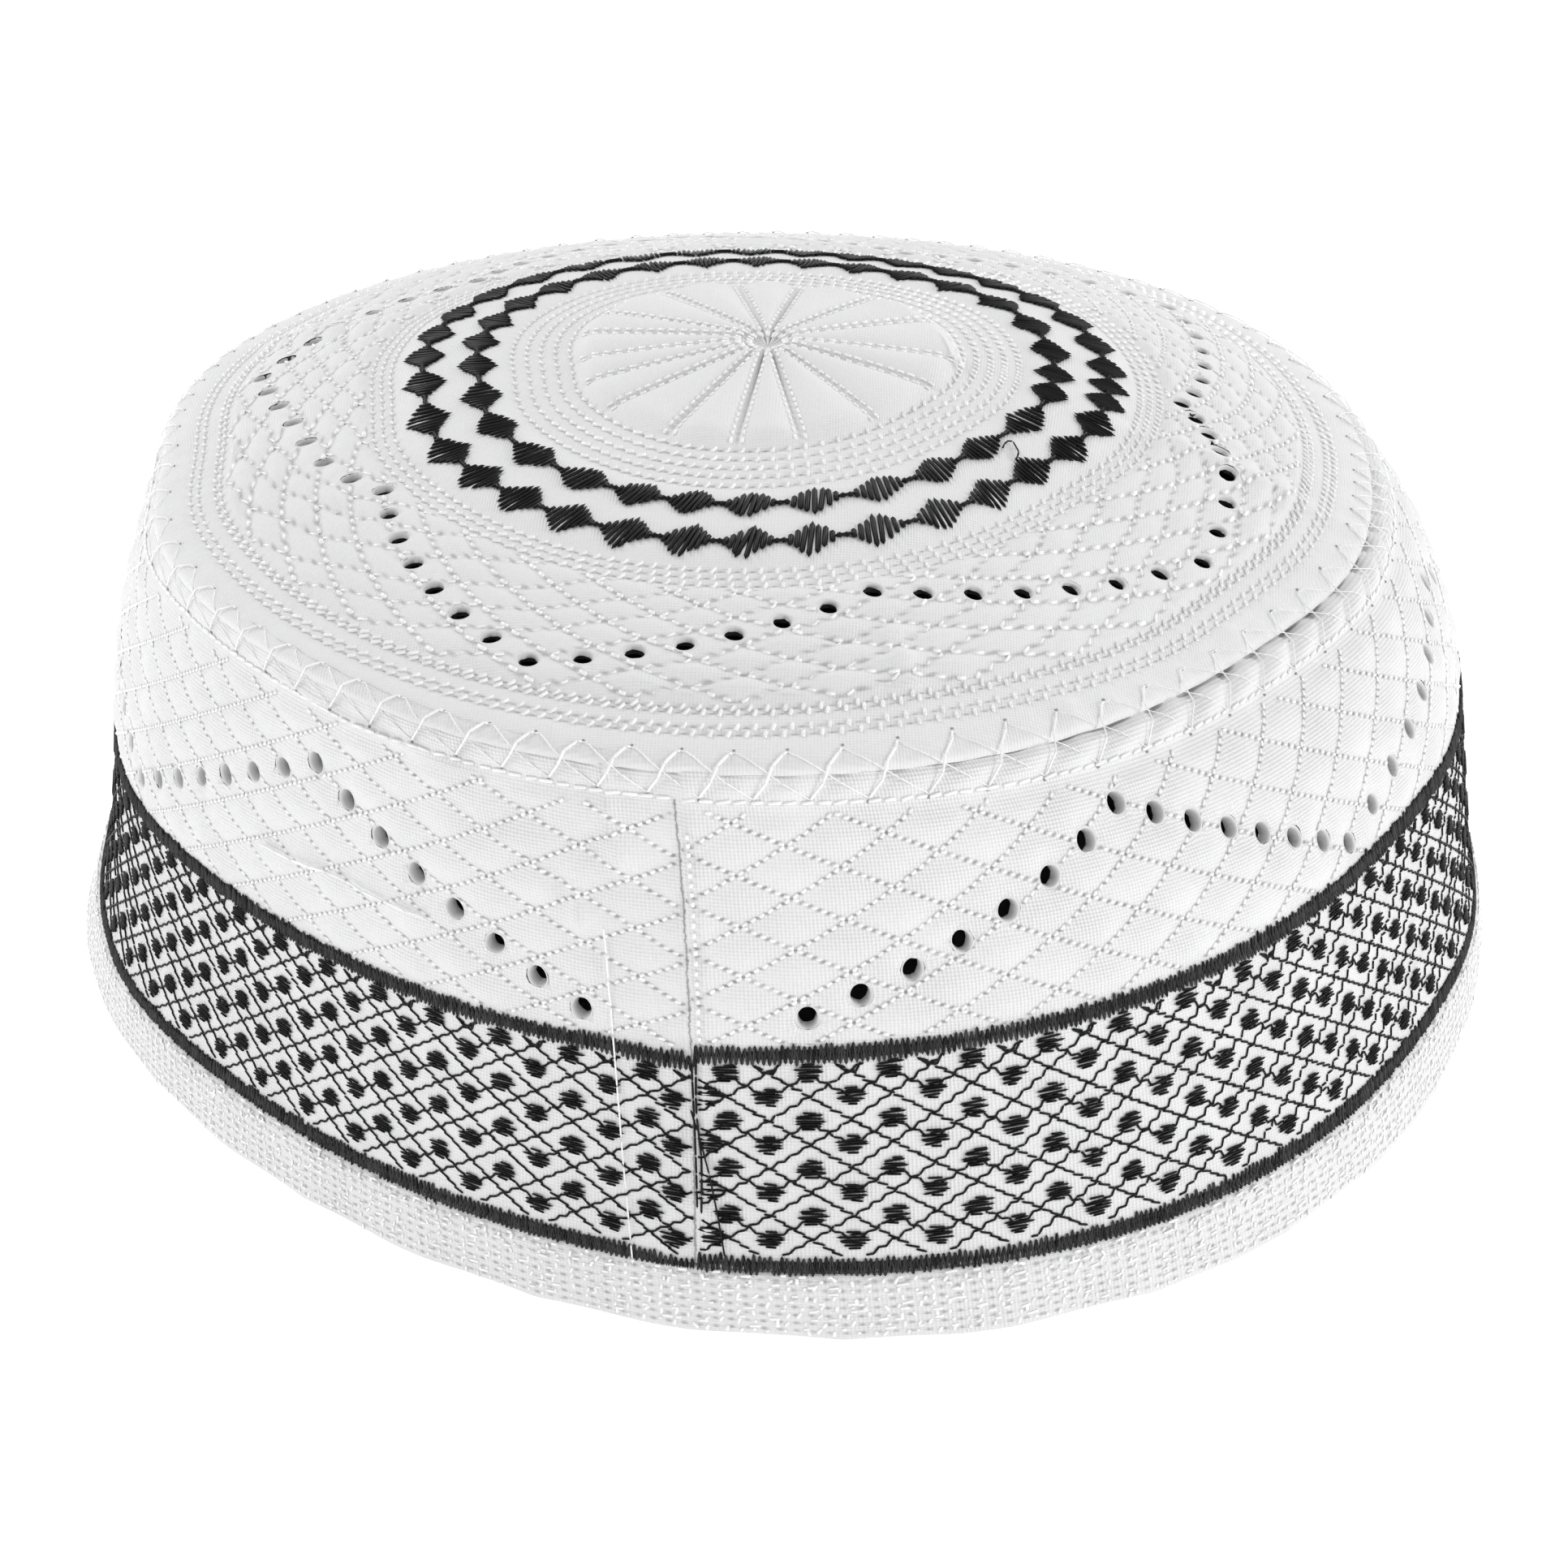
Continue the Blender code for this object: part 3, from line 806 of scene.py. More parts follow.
def worked_rims(name, eyelets, size, depth, upright=1.0):
    """A funnel in every eyelet: a closed loop spun round, roughened and set at each place.

    The size and depth may be one number, or one for each eyelet.
    """
    bm = bmesh.new()
    loop = [bm.verts.new((radius, 0, height)) for radius, height in FUNNEL]
    edges = [bm.edges.new(pair) for pair in zip(loop, loop[1:] + loop[:1])]
    bmesh.ops.spin(bm, geom=loop + edges, cent=(0, 0, 0), axis=(0, 0, 1), angle=2 * pi,
                   steps=FUNNEL_STEPS, use_merge=True)
    bmesh.ops.recalc_face_normals(bm, faces=bm.faces)
    ring = bpy.data.meshes.new(name)
    bm.to_mesh(ring)
    bm.clear()
    sizes, depths = (np.broadcast_to(value, len(eyelets)) for value in (size, depth))
    for (centre, normal), wide, deep in zip(eyelets, sizes, depths):
        narrow = Matrix.Diagonal((wide, wide * rng.uniform(0.86, 1), deep, 1))
        turn = Matrix.Rotation(rng.uniform(0, 2 * pi), 4, "Z") @ narrow
        place = Matrix.Translation(centre) @ normal.to_track_quat("Z", "Y").to_matrix().to_4x4()
        place = place @ Matrix.Diagonal((upright, 1, 1, 1))
        first = len(bm.verts)
        bm.from_mesh(ring)
        bm.verts.ensure_lookup_table()
        for vert in bm.verts[first:]:
            if vert.co.z < RAGGED_BELOW:
                ragged = rng.uniform(0.86, 1.04)
                vert.co.x *= ragged
                vert.co.y *= ragged
        bmesh.ops.transform(bm, verts=bm.verts[first:], matrix=place @ turn @ Matrix.Scale(MM, 4))
    piece = finished(name, bm, ring, rim_cotton)
    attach(piece, "root")
    return piece


rim_cotton = thread_finish("rim_cotton", (0.68, 0.68, 0.68), (0.74, 0.74, 0.74), 0.7, Sheen_Weight=0.2)
deep = wave(DEEP_SIDE, crown_eyelet_places()[0])
crown_rims = worked_rims("crown_eyelet_rims", crown_eyelets,
                         RIM_SIZE + DEEP_SIZE * deep, RIM_DEPTH + DEEP_DEPTH * deep)

# Side band cloth.
# The upright wall of the cap, of the same quilted cotton with a dotted weave. Its two ends meet in
# one upright seam, where the right end is folded over the left.
RIM_RADIUS = 90.0
ROUND_THE_RIM = 2 * pi * RIM_RADIUS
TUCK_SHARE = 0.35
TUCK_POWER = 4
SIDE_HOLLOW = 0.85
WAIST = 0.9
SLUMP_RAMP = 0.5
BULGE_RAMP = 9.0
SIDE_CLOTH = 1.3
SIDE_PUFF = 0.5
SIDE_COLUMNS = 580
SIDE_LEVELS = np.concatenate([np.linspace(0, 0.915, 58), np.linspace(0.925, 1, 12)])
SIDE_FOOT = 8.2
SEAM_TOP = -94.8
SEAM_LEAN = -2.9
SEAM_SAG = 1.1
SAG_REACH = 7.0
# The lapped end right of the seam, the welt left of it and the slanted fold at the front left.
LAP_RISE = 0.55
LAP_EDGE = 0.8
LAP_REACH = 6.0
WELT_RISE = 0.5
WELT_AWAY = 7.6
WELT_WIDTH = 0.9
WELT_FOOT = 44.0
FOLD_START = 234.0
FOLD_LEVEL = 0.945
FOLD_CLIMB = 0.0014
FOLD_WIDTH = 0.007
FOLD_RISE = 0.55
FOLD_MIDDLE = 12.0
FOLD_LENGTH = 14.0
# The quilt: cells round the side, their height, and where its lines cross and it begins and ends.
SIDE_CELLS = 50
SIDE_CELL_HEIGHT = 5.5
SIDE_EDGE_STITCHES = 6
SIDE_VERTEX = 39.25
SIDE_QUILT_FOOT = 34.2
SIDE_QUILT_TOP = 0.918
SIDE_CREASES = (
    (-105.5, 52.0, 0.9, 2.0, 0.50), (-104.2, 50.3, 0.8, 2.2, -0.40), (-102.9, 48.0, 0.8, 2.5, 0.45),
    (-108.0, 55.3, 1.8, 1.2, 0.40), (-100.2, 50.0, 0.6, 5.0, -0.40), (-99.0, 55.0, 1.0, 2.0, 0.50),
)
# The herringbone's feet, how it pulls the cloth into puffs, and the groove under the crown's edge.
HERRINGBONE_COUNT = 85
HERRINGBONE_DROP = 3.8
HERRINGBONE_FOOT = 0.96
HERRINGBONE_SWING = 0.75
HERRINGBONE_PULL = 0.85
HERRINGBONE_PUFF = 0.35
HERRINGBONE_SLACK_PUFF = 0.75
TUCK_UNDER = 0.9
GROOVE = 1.15
GROOVE_UNEVEN = 0.35
# The turns of the eyelets' zigzag, each an angle and a height.
ZIGZAG_TURNS = (
    (-88.2, 37.2), (-62.0, 52.2), (-41.0, 36.5), (-8.0, 47.0), (16.0, 36.0), (40.0, 50.5), (64.0, 38.5),
    (88.0, 52.0), (112.0, 39.0), (136.0, 55.0), (160.0, 39.0), (184.0, 56.0), (205.3, 37.5),
    (234.9, 56.5), (256.3, 36.8),
)
ZIGZAG_STEPS = 7


def side_height(angle):
    return SIDE_HEIGHT + dent("height", angle)


def side_shape(angle, height):
    """Plain side of the cap."""
    share = height / side_height(angle)
    tuck = TUCK_SHARE + dent("tuck", angle)
    draw_in = (1 - tuck) * share + tuck * np.abs(share) ** TUCK_POWER
    rim = RIM_RADIUS + dent("rim", angle)
    radius = rim + (CROWN_RADIUS + dent("crown", angle) - rim) * draw_in
    radius = radius - SIDE_HOLLOW * 4 * share * (1 - share)
    radius = radius - WAIST * np.sin(2 * pi * share) * np.cos(angle) ** 2
    radius = radius + wave(SLUMPS, angle) * ramp(share, 0, SLUMP_RAMP)
    radius = radius + wave(BULGES, angle) * ramp(height, 0, BULGE_RAMP)
    return around(angle, radius, height) + CROWN_LEAN * draw_in[..., None] - CAP_MIDDLE


def side_outward(angle, height):
    return outward(side_shape, angle, height, 0.2)


def seam_angle(height):
    return np.radians(SEAM_TOP + SEAM_LEAN * (1 - height / SIDE_HEIGHT))


def past_seam(angle, height):
    """Turn from the seam, from 0 up to a whole turn."""
    return (angle - seam_angle(height)) % (2 * pi)


def sagged(turn):
    """How far the left end of the side hangs below the right end beside the seam, in mm."""
    return SEAM_SAG * np.exp(-((2 * pi - turn) * RIM_RADIUS / SAG_REACH) ** 2)


def side_cell_lines(turn, height):
    """Counts of the side's two families of slanted quilting lines crossed up to a place."""
    across = turn / (2 * pi) * SIDE_CELLS
    climb = (height + sagged(turn) - SIDE_VERTEX) / SIDE_CELL_HEIGHT
    return across + climb, across - climb


def side_eyelet_places():
    """Angles and heights of the eyelets: straight legs between the turns of a zigzag."""
    turns = np.array(ZIGZAG_TURNS)
    step = np.arange(ZIGZAG_STEPS * (len(turns) - 1) + 1) / ZIGZAG_STEPS
    angle = np.radians(np.interp(step, range(len(turns)), turns[:, 0]))
    return angle, np.interp(step, range(len(turns)), turns[:, 1])


def seam_folds(turn, height):
    """The end that laps over the seam from the right, and a soft welt a little way left of it."""
    right, left = turn * RIM_RADIUS, (2 * pi - turn) * RIM_RADIUS
    lap = LAP_RISE * ramp(right, 0, LAP_EDGE) * np.exp(-right / LAP_REACH)
    welt = WELT_RISE * np.exp(-((left - WELT_AWAY) / WELT_WIDTH) ** 2)
    return lap + welt * ramp(height, WELT_FOOT, 6) * (1 + 0.4 * np.sin(height * 1.9))


def slanted_fold(angle, share):
    """A soft fold under the crown's edge at the front left, which climbs to the left."""
    along = np.degrees(angle) % 360 - FOLD_START
    above = (share - FOLD_LEVEL + FOLD_CLIMB * along) / FOLD_WIDTH
    return FOLD_RISE * np.exp(-above ** 2) * np.exp(-((along - FOLD_MIDDLE) / FOLD_LENGTH) ** 4)


def herringbone_puffs(angle, share):
    """Cloth that puffs out between the herringbone's threads, most where the crown hangs loose."""
    foot = 1 - HERRINGBONE_DROP / SIDE_HEIGHT
    pulled = HERRINGBONE_PULL * (share - foot) / (1 - foot)
    puff = undrifted(angle) / (2 * pi) * HERRINGBONE_COUNT - HERRINGBONE_FOOT - pulled
    rise = HERRINGBONE_PUFF + HERRINGBONE_SLACK_PUFF * slack(angle)
    return rise * np.abs(np.sin(pi * puff)) ** 0.7 * ramp(share, 0.93, 0.02)


def tucked_under(angle, share):
    """How far the top of the side is tucked in under the crown's edge, with an uneven groove."""
    groove = slack(angle) * (GROOVE + GROOVE_UNEVEN * np.sin(37 * angle) * np.sin(61 * angle))
    return TUCK_UNDER * ramp(share, 0.982, 0.018) + groove * ramp(share, 0.972, 0.008)


def side_relief(angle, height):
    """Height of the quilted surface above the plain side, in mm."""
    share = height / side_height(angle)
    turn = past_seam(angle, height)
    quilted = ramp(height, SIDE_QUILT_FOOT, 1.5) * ramp(SIDE_QUILT_TOP - share, 0, 0.02)
    places, heights = side_eyelet_places()
    flat = drawn_flat(angle, RIM_RADIUS, height, (places, RIM_RADIUS, heights))
    relief = SIDE_PUFF * puffed(side_cell_lines(turn, height)) * quilted * (1 - flat)
    relief += seam_folds(turn, height) + slanted_fold(angle, share) + herringbone_puffs(angle, share)
    relief += creased(SIDE_CREASES, angle, height, RIM_RADIUS)
    return relief - INSET - tucked_under(angle, share)


def side_skin(angle, height):
    return side_shape(angle, height) + side_outward(angle, height) * side_relief(angle, height)[..., None]


def on_sheet(turn, share):
    """Angle and height of a place on the side's sheet, whose two ends meet at the seam."""
    height = SIDE_FOOT + (side_height(turn + radians(SEAM_TOP)) - SIDE_FOOT) * share
    return seam_angle(height) + turn, height


def side_sheet_skin(turn, share):
    return side_skin(*on_sheet(turn, share))


def side_sewing(turn, share, face_share):
    """Counts of the slanted lines of the quilt, and 2 where it is quilted."""
    angle, face_height = on_sheet(turn, face_share)
    quilted = (face_height > SIDE_QUILT_FOOT) & (face_height < SIDE_QUILT_TOP * side_height(angle))
    lines = side_cell_lines(turn, on_sheet(turn, share)[1])
    return np.stack([lines[0], lines[1], 2.0 + 0 * turn], -1) * quilted[:, None]


bm, mesh = sheet_of_cloth("side_cloth", side_sheet_skin, SIDE_LEVELS, SIDE_COLUMNS,
                          lambda a, s: (a * RIM_RADIUS, s * SIDE_HEIGHT), side_sewing)
side_eyelets = list(zip(vectors(side_skin(*side_eyelet_places()) * MM),
                        vectors(outward(side_skin, *side_eyelet_places(), 1.3, 0.015))))
pierce(bm, side_eyelets)
side_cotton = cotton("side_cotton", pitch=0.86, weave=0.6, depth=0.10,
                     per_edge=SIDE_EDGE_STITCHES, line_reach=0.075, seam=ROUND_THE_RIM)
bmesh.ops.recalc_face_normals(bm, faces=bm.faces)
side_cloth = finished("side_cloth", bm, mesh, side_cotton, SIDE_CLOTH)
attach(side_cloth, "root")
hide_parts("side_band")
side_rims = worked_rims("side_eyelet_rims", side_eyelets, size=1.03, depth=1.45, upright=0.87)

# White stitching of the side.
# A lattice of small dotted stitches above the black net, a running thread under the crown's edge,
# a stitched line beside the seam, and the herringbone that holds the crown to the side.
RUNNING_LEVEL = 0.936
RUNNING_PITCH = 1.7
RUNNING_LENGTH = 1.5
SEAM_LINE_HEIGHTS = (34.5, 58.0)
SEAM_LINE_AWAY = 0.8
SEAM_DOT_PITCH = 1.1
SEAM_DOT_LENGTH = 0.6
CLEAR_OF_SIDE_EYELET = 1.6
HERRINGBONE_TOP = 0.981
# Way of a herringbone thread: part of its turn, cloth it lies on, level there and how far it stands off.
HERRINGBONE_PATH = (
    (0.00, "side", -HERRINGBONE_DROP, 0.10),
    (0.36, "side", -2.0, 0.40),
    (0.63, "crown", 0.9965, 0.20),
    (0.90, "crown", EDGE_START, 0.15),
    (1.00, "crown", HERRINGBONE_TOP, 0.00),
)
HERRINGBONE_FEET = np.arange(HERRINGBONE_COUNT) + HERRINGBONE_FOOT
HERRINGBONE_PULLED = 1.4
OVERLAP = 0.06
# Needle pits past a thread's two ends: by a part of a turn, and by a level.
PIT_HALF = 0.03
PIT_HEIGHT = 60.0
PIT_PAST_FOOT = (-0.02, -0.30)
PIT_PAST_TOP = (0.02, -0.004)
PRESSED_IN = ((-35.0, 42.0, 0.5), (-170.0, 45.0, 0.5))


def side_row(angle, height, pitch, length):
    return along_line(side_skin, side_outward, angle, height, pitch, length)


def side_place(across, climb):
    turn = across / SIDE_CELLS * 2 * pi
    height = SIDE_VERTEX + climb * SIDE_CELL_HEIGHT - sagged(turn)
    angle = seam_angle(height) + turn
    return side_skin(angle, height), side_outward(angle, height)


def in_side_quilt(turn, climb):
    height = SIDE_VERTEX + climb * SIDE_CELL_HEIGHT
    share = height / side_height(seam_angle(height) + turn / SIDE_CELLS * 2 * pi)
    clear_of_seam = (turn > 0.15) & (turn < SIDE_CELLS - 0.1)
    return clear_of_seam & (height > SIDE_QUILT_FOOT + 0.3) & (share < SIDE_QUILT_TOP)


side_stitches = []
for family in quilt_stitches(SIDE_CELLS, SIDE_EDGE_STITCHES, 0.055, side_place, in_side_quilt):
    side_stitches.append(tilted(family, 0.3))
around_side = np.linspace(0.005, 2 * pi - 0.005, 900) + radians(SEAM_TOP)
running = side_height(around_side) * RUNNING_LEVEL
side_stitches.append(tilted(side_row(around_side, running, RUNNING_PITCH, RUNNING_LENGTH), 0.1))
seam_height = np.linspace(*SEAM_LINE_HEIGHTS, 90)
side_stitches.append(side_row(seam_angle(seam_height) + SEAM_LINE_AWAY / RIM_RADIUS, seam_height,
                              SEAM_DOT_PITCH, SEAM_DOT_LENGTH))
side_stitching = sewn("side_stitching", clear_of(side_stitches, side_eyelets, CLEAR_OF_SIDE_EYELET),
                      white_thread, width=0.50, height=0.42, sink=0.08)


def side_points(turn, height):
    """Points and outward directions at a share of the way round from the seam."""
    height = height - sagged(turn % 1 * 2 * pi)
    angle = seam_angle(height) + turn * 2 * pi
    return side_skin(angle, height), side_outward(angle, height)


def herringbone_points(turns, piece, level, clear):
    """Places on the side at so many mm below its top, or on the crown at a share of its radius."""
    angle = drifted(turns * 2 * pi / HERRINGBONE_COUNT)
    if piece == "crown":
        share = level + 0 * angle
        if level < EDGE_START:
            pulled = level + HERRINGBONE_PULLED * wave(PULLED_ROWS, angle)
            share = np.minimum(pulled, EDGE_START - 0.001)
        return crown_skin(angle, share) + crown_outward(angle, share) * clear
    height = side_height(angle) + level
    stand_off = clear * (1 + slack(angle)) + 0 * angle
    return side_skin(angle, height) + side_outward(angle, height) * stand_off[:, None]


def herringbone(first, last):
    """Slanted threads from the side, over the crown's rolled edge and into its margin."""
    path = [herringbone_points(HERRINGBONE_FEET + first + (last - first) * part, *place)
            for part, *place in HERRINGBONE_PATH]
    angle = drifted(HERRINGBONE_FEET * 2 * pi / HERRINGBONE_COUNT)
    normal = side_outward(angle, side_height(angle) - 1.0) + np.array((0, 0, 0.6))
    normal /= np.linalg.norm(normal, axis=1, keepdims=True)
    return [(a + (a - b) * OVERLAP, b + (b - a) * OVERLAP, normal) for a, b in zip(path, path[1:])]


def herringbone_holes():
    """Small grey dashes of painted shade, in the pits that the needle leaves just past both ends of the
    threads.
    """
    found = []
    for end, swing, (past, beyond) in ((0, 0.0, PIT_PAST_FOOT), (-1, HERRINGBONE_SWING, PIT_PAST_TOP)):
        turns = HERRINGBONE_FEET + swing + past
        piece, level = HERRINGBONE_PATH[end][1:3]
        ends = [herringbone_points(turns + way, piece, level + beyond, 0.0) for way in (-PIT_HALF, PIT_HALF)]
        angle = drifted(turns * 2 * pi / HERRINGBONE_COUNT)
        found.append((ends[0], ends[1], side_outward(angle, PIT_HEIGHT + 0 * angle)))
    return found


foot_angle = drifted(HERRINGBONE_FEET * 2 * pi / HERRINGBONE_COUNT)
pressed = np.tile(1 - wave(PRESSED_IN, foot_angle), len(HERRINGBONE_PATH) - 1)
herringbone_thick = sewn("herringbone_thick", herringbone(0.0, HERRINGBONE_SWING), white_thread,
                         width=0.40 * pressed, height=0.26)
herringbone_thin = sewn("herringbone_thin", herringbone(2.0, HERRINGBONE_SWING), white_thread,
                        width=0.18 * pressed, height=0.14)
# Painted shade: the needle pits are small grey dashes laid on the cloth.
needle_pit_shade = Finish("needle_pit_shade", 0.9, Base_Color=(0.30, 0.30, 0.30, 1.0)).material
needle_pit_shadows = sewn("herringbone_pit_shadows", herringbone_holes(), needle_pit_shade, width=0.36, height=0.20, sink=0.06)

# Black borders and net.
# Two borders of black satin zigzag run round the side. Between them lies a net of black running
# stitch, with a small satin blob in every diamond and a thread that links the blobs in pairs of rows.
BORDER_COLUMNS = ("name", "height", "width")
BORDERS = (("border_lower", 8.8, 2.4), ("border_upper", 33.2, 2.4))
# The two zigzags of a border: pitch, reach as a share of its width, and unevenness.
ZIGZAGS = ((0.57, 0.46, 0.13), (0.58, 0.25, 0.14))
TIP_UNEVEN = 0.09
NET_COLUMNS = 66
NET_FIRST = 0.40
NET_FOOT = 9.9
NET_TOP = 32.2
HIGH_BLOB = 31.2
NET_CELL = 5.5
NET_SKIP = 0.0004
# Running stitches of the net: some threads lie evenly tilted, and others sway left and right.
PLAIN = {"pitch": 1.15, "length": 1.46, "tilt": 0.20, "sway": 0.0}
SWAYING = {"pitch": 0.80, "length": 1.02, "tilt": 0.0, "sway": 0.27}
SLACK_SWAY = 1.6
DIP_POWER = 0.8
TOP_BOW_HALF = 1.3
TOP_BOW_DROP = 1.2
BLOB_ROWS = 4
# The threads of a blob from its top down: length, and shift to the right.
HIGH_BLOBS = ((1.3, 0.2), (2.5, 0.1), (2.5, -0.1), (2.9, 0.1), (2.6, -0.1), (2.4, 0.1), (1.4, -0.1))
LOW_BLOBS = ((1.5, 0.0), (1.6, 0.3), (2.9, -0.1), (2.9, 0.1), (2.6, 0.0), (2.1, -0.1), (1.2, 0.1))
BLOB_PITCH = 0.31
BLOB_OFF_SEAM = 0.0025
SEAM_BLOBS = (1.7, -2.4)


def border_threads(height, width):
    """Two zigzags of satin thread: the points of the wide one stand out as spikes along both edges."""
    found = []
    for pitch, share, uneven in ZIGZAGS:
        count = int(ROUND_THE_RIM / pitch)
        tip = np.arange(2 * count + 1)
        turn = (tip + rng.normal(0, TIP_UNEVEN, len(tip))) / (2 * count + 1)
        reach = width * share * (1 + rng.normal(0, uneven, len(tip)))
        points, normals = side_points(turn, height + np.where(tip % 2, 1, -1) * reach)
        found.append((points[:-1], points[1:], normals[:-1]))
    return found


# The threads' tones differ at random, and the lightest are painted highlight: they stand in for glints on
# the black thread.
border_thread = thread_finish("border_thread", (0.002, 0.002, 0.002), (0.060, 0.060, 0.062), 0.5,
                              Specular_IOR_Level=0.2)
for row in BORDERS:
    facts = dict(zip(BORDER_COLUMNS, row))
    border = sewn(facts["name"] + "_satin", border_threads(facts["height"], facts["width"]),
                  border_thread, width=0.31, height=0.38, sink=0.02)
    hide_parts(facts["name"])


def net_row(turn, height, pitch, length, tilt, sway):
    """Running stitches along one thread of the net: all a little tilted, or swaying left and right."""
    inside = (turn > NET_SKIP) & (turn < 1 - NET_SKIP) & (height > NET_FOOT) & (height < NET_TOP)
    if inside.sum() < 3:
        return []
    turn, height = turn[inside], height[inside] - sagged(turn[inside] * 2 * pi)
    angle = seam_angle(height) + turn * 2 * pi
    row = along_line(side_skin, side_outward, angle, height, pitch, length, 0.05)
    loose = 1 + SLACK_SWAY * slack(np.arctan2(row[0][:, 1], row[0][:, 0]))
    return [tilted(row, tilt + sway * loose * np.where(np.arange(len(row[0])) % 2, 1, -1))]


net = []
climb = np.linspace(NET_FOOT - 2, NET_TOP + 2, 90)
column_turn = 1.0 / NET_COLUMNS
high_column = (np.arange(-9, NET_COLUMNS + 9) + NET_FIRST) * column_turn
low_vertex = HIGH_BLOB - NET_CELL / 2
for column in high_column:
    lean = (climb - low_vertex) / NET_CELL * column_turn
    net += net_row(column - lean, climb, **PLAIN) + net_row(column + lean, climb, **SWAYING)
for row in range(BLOB_ROWS):
    step = np.linspace(0, 1, 3000)
    swing = 1 - np.abs(2 * (((step - NET_FIRST * column_turn) * NET_COLUMNS) % 1) - 1)
    dip = NET_CELL / 2 * (1 - np.abs(1 - swing)) ** DIP_POWER
    net += net_row(step, HIGH_BLOB - row * NET_CELL - dip, **SWAYING)
bow = np.linspace(-1, 1, 16)
for column in high_column + column_turn / 2:
    net += net_row(column + bow * TOP_BOW_HALF / ROUND_THE_RIM,
                   NET_TOP - 0.1 - TOP_BOW_DROP * (1 - bow ** 2), **PLAIN)
black_net = sewn("black_net", net, black_thread, width=0.30, height=0.24, sink=0.02)

blobs = []
for row in range(2 * BLOB_ROWS):
    centre = (np.arange(NET_COLUMNS) + NET_FIRST + 0.5 * (row % 2)) * column_turn % 1
    centre = centre[(centre > BLOB_OFF_SEAM) & (centre < 1 - BLOB_OFF_SEAM)]
    if row % 2:
        centre = np.concatenate([centre, np.array(SEAM_BLOBS) / ROUND_THE_RIM % 1])
    level = HIGH_BLOB - row * NET_CELL / 2
    threads = LOW_BLOBS if row % 2 else HIGH_BLOBS
    for index, (length, shift) in enumerate(threads):
        reach = length / 2 * rng.uniform(0.90, 1.25, len(centre))
        shift = shift + rng.normal(0, 0.12, len(centre))
        height = level + (len(threads) / 2 - 0.5 - index) * BLOB_PITCH + rng.normal(0, 0.03, len(centre))
        tip = rng.normal(0.05, 0.04, len(centre)) * np.where(index % 2, 1, -1)
        start, normal = side_points(centre + (shift - reach) / ROUND_THE_RIM, height - tip)
        end, _ = side_points(centre + (shift + reach) / ROUND_THE_RIM, height + tip)
        blobs.append((start, end, normal))
black_blobs = sewn("black_blobs", blobs, black_thread, width=0.31, height=0.40)

# Loose threads.
# Ends of thread left by the machine: doubled black stitches beside the seam, black loops under the
# lower border and between the diamond rings, white ends left of the seam and beside the rosette, and
# a white stitch that was sewn over again.
LOOSE_OVERLAP = 1.12
LOOSE_COLUMNS = ("colour", "lies_on", "thickness", "stitch", "places")
LOOSE_THREADS = (
    ("black", "side", 0.30, 2.2, ((-95.9, 33.0), (-96.3, 27.0), (-96.2, 21.0), (-96.6, 14.5))),
    ("black", "side", 0.28, 2.0, ((-96.3, 32.0), (-96.5, 26.0), (-96.7, 20.0), (-96.9, 15.0))),
    ("black", "side", 0.24, 2.5, ((-96.7, 26.7), (-95.9, 20.9), (-95.5, 14.2), (-95.3, 9.3))),
    ("black", "side", 0.20, 0.8,
     ((-118.3, 8.0), (-117.9, 7.2), (-117.4, 7.0), (-117.2, 7.6), (-117.5, 8.3))),
    ("black", "crown", 0.26, 1.0,
     ((-37.5, 0.53), (-35.0, 0.522), (-33.5, 0.505), (-32.3, 0.490), (-34.0, 0.488), (-36.5, 0.497))),
    ("white", "crown", 0.50, 2.0, ((-8.6, 0.3275), (10.3, 0.294))),
    ("white", "side", 0.24, 3.0, ((-101.2, 47.0), (-101.6, 33.0), (-101.8, 20.0), (-101.8, 6.4))),
    ("white", "side", 0.45, 2.6,
     ((-132.8, 43.2), (-129.3, 43.4), (-122.9, 44.4), (-119.0, 43.6), (-115.1, 43.6))),
)
for number, row in enumerate(LOOSE_THREADS):
    facts = dict(zip(LOOSE_COLUMNS, row))
    on_crown = facts["lies_on"] == "crown"
    skin, normal_of = (crown_skin, crown_outward) if on_crown else (side_skin, side_outward)
    angle, level = np.array(facts["places"]).T
    even = np.linspace(0, len(angle) - 1, 60)
    angle = np.radians(np.interp(even, range(len(angle)), angle))
    level = np.interp(even, range(len(level)), level)
    start, end, normal = along_line(skin, normal_of, angle, level, facts["stitch"],
                                    facts["stitch"] * LOOSE_OVERLAP)
    lift = normal * facts["thickness"]
    loose = sewn("loose_thread_" + str(number + 1), [(start + lift, end + lift, normal)],
                 black_thread if facts["colour"] == "black" else white_thread,
                 facts["thickness"], facts["thickness"])

# Hem.
# The rim is turned under and held by seven close rows of white stitches, which makes it thick and
# gives it a slightly wavy foot. The cap stands on it.
HEM_TOP = 7.9
# The hem's closed section, from its foot up the outside and down the inside: height as a share, and
# how far it stands out.
HEM_PROFILE = (
    (0.00, -0.5), (0.04, 0.05), (0.14, 0.15), (0.26, 0.15), (0.38, 0.15), (0.50, 0.15), (0.62, 0.15),
    (0.74, 0.15), (0.86, 0.1), (0.96, -0.1), (1.00, -0.4), (1.00, -1.9), (0.80, -2.1), (0.40, -2.1),
    (0.04, -2.1), (0.00, -1.9), (0.00, -1.2),
)
HEM_CORNERS = len(HEM_PROFILE)
HEM_FACE_CORNERS = (1, 9)
HEM_FACE_OUT = 0.15
HEM_FOOT_LIFT = 0.6
HEM_ROWS = 7
HEM_FIRST_ROW = 1.2
HEM_ROW_PITCH = 1.0
HEM_STITCHES = 340
HEM_COLUMNS = 480
HEM_LEVELS = np.concatenate([np.linspace(0, 10, 29), np.arange(11, HEM_CORNERS + 1)]) / HEM_CORNERS
UPRIGHT_REACH = (0.12, 0.46)
UPRIGHT_LEAN = -0.25
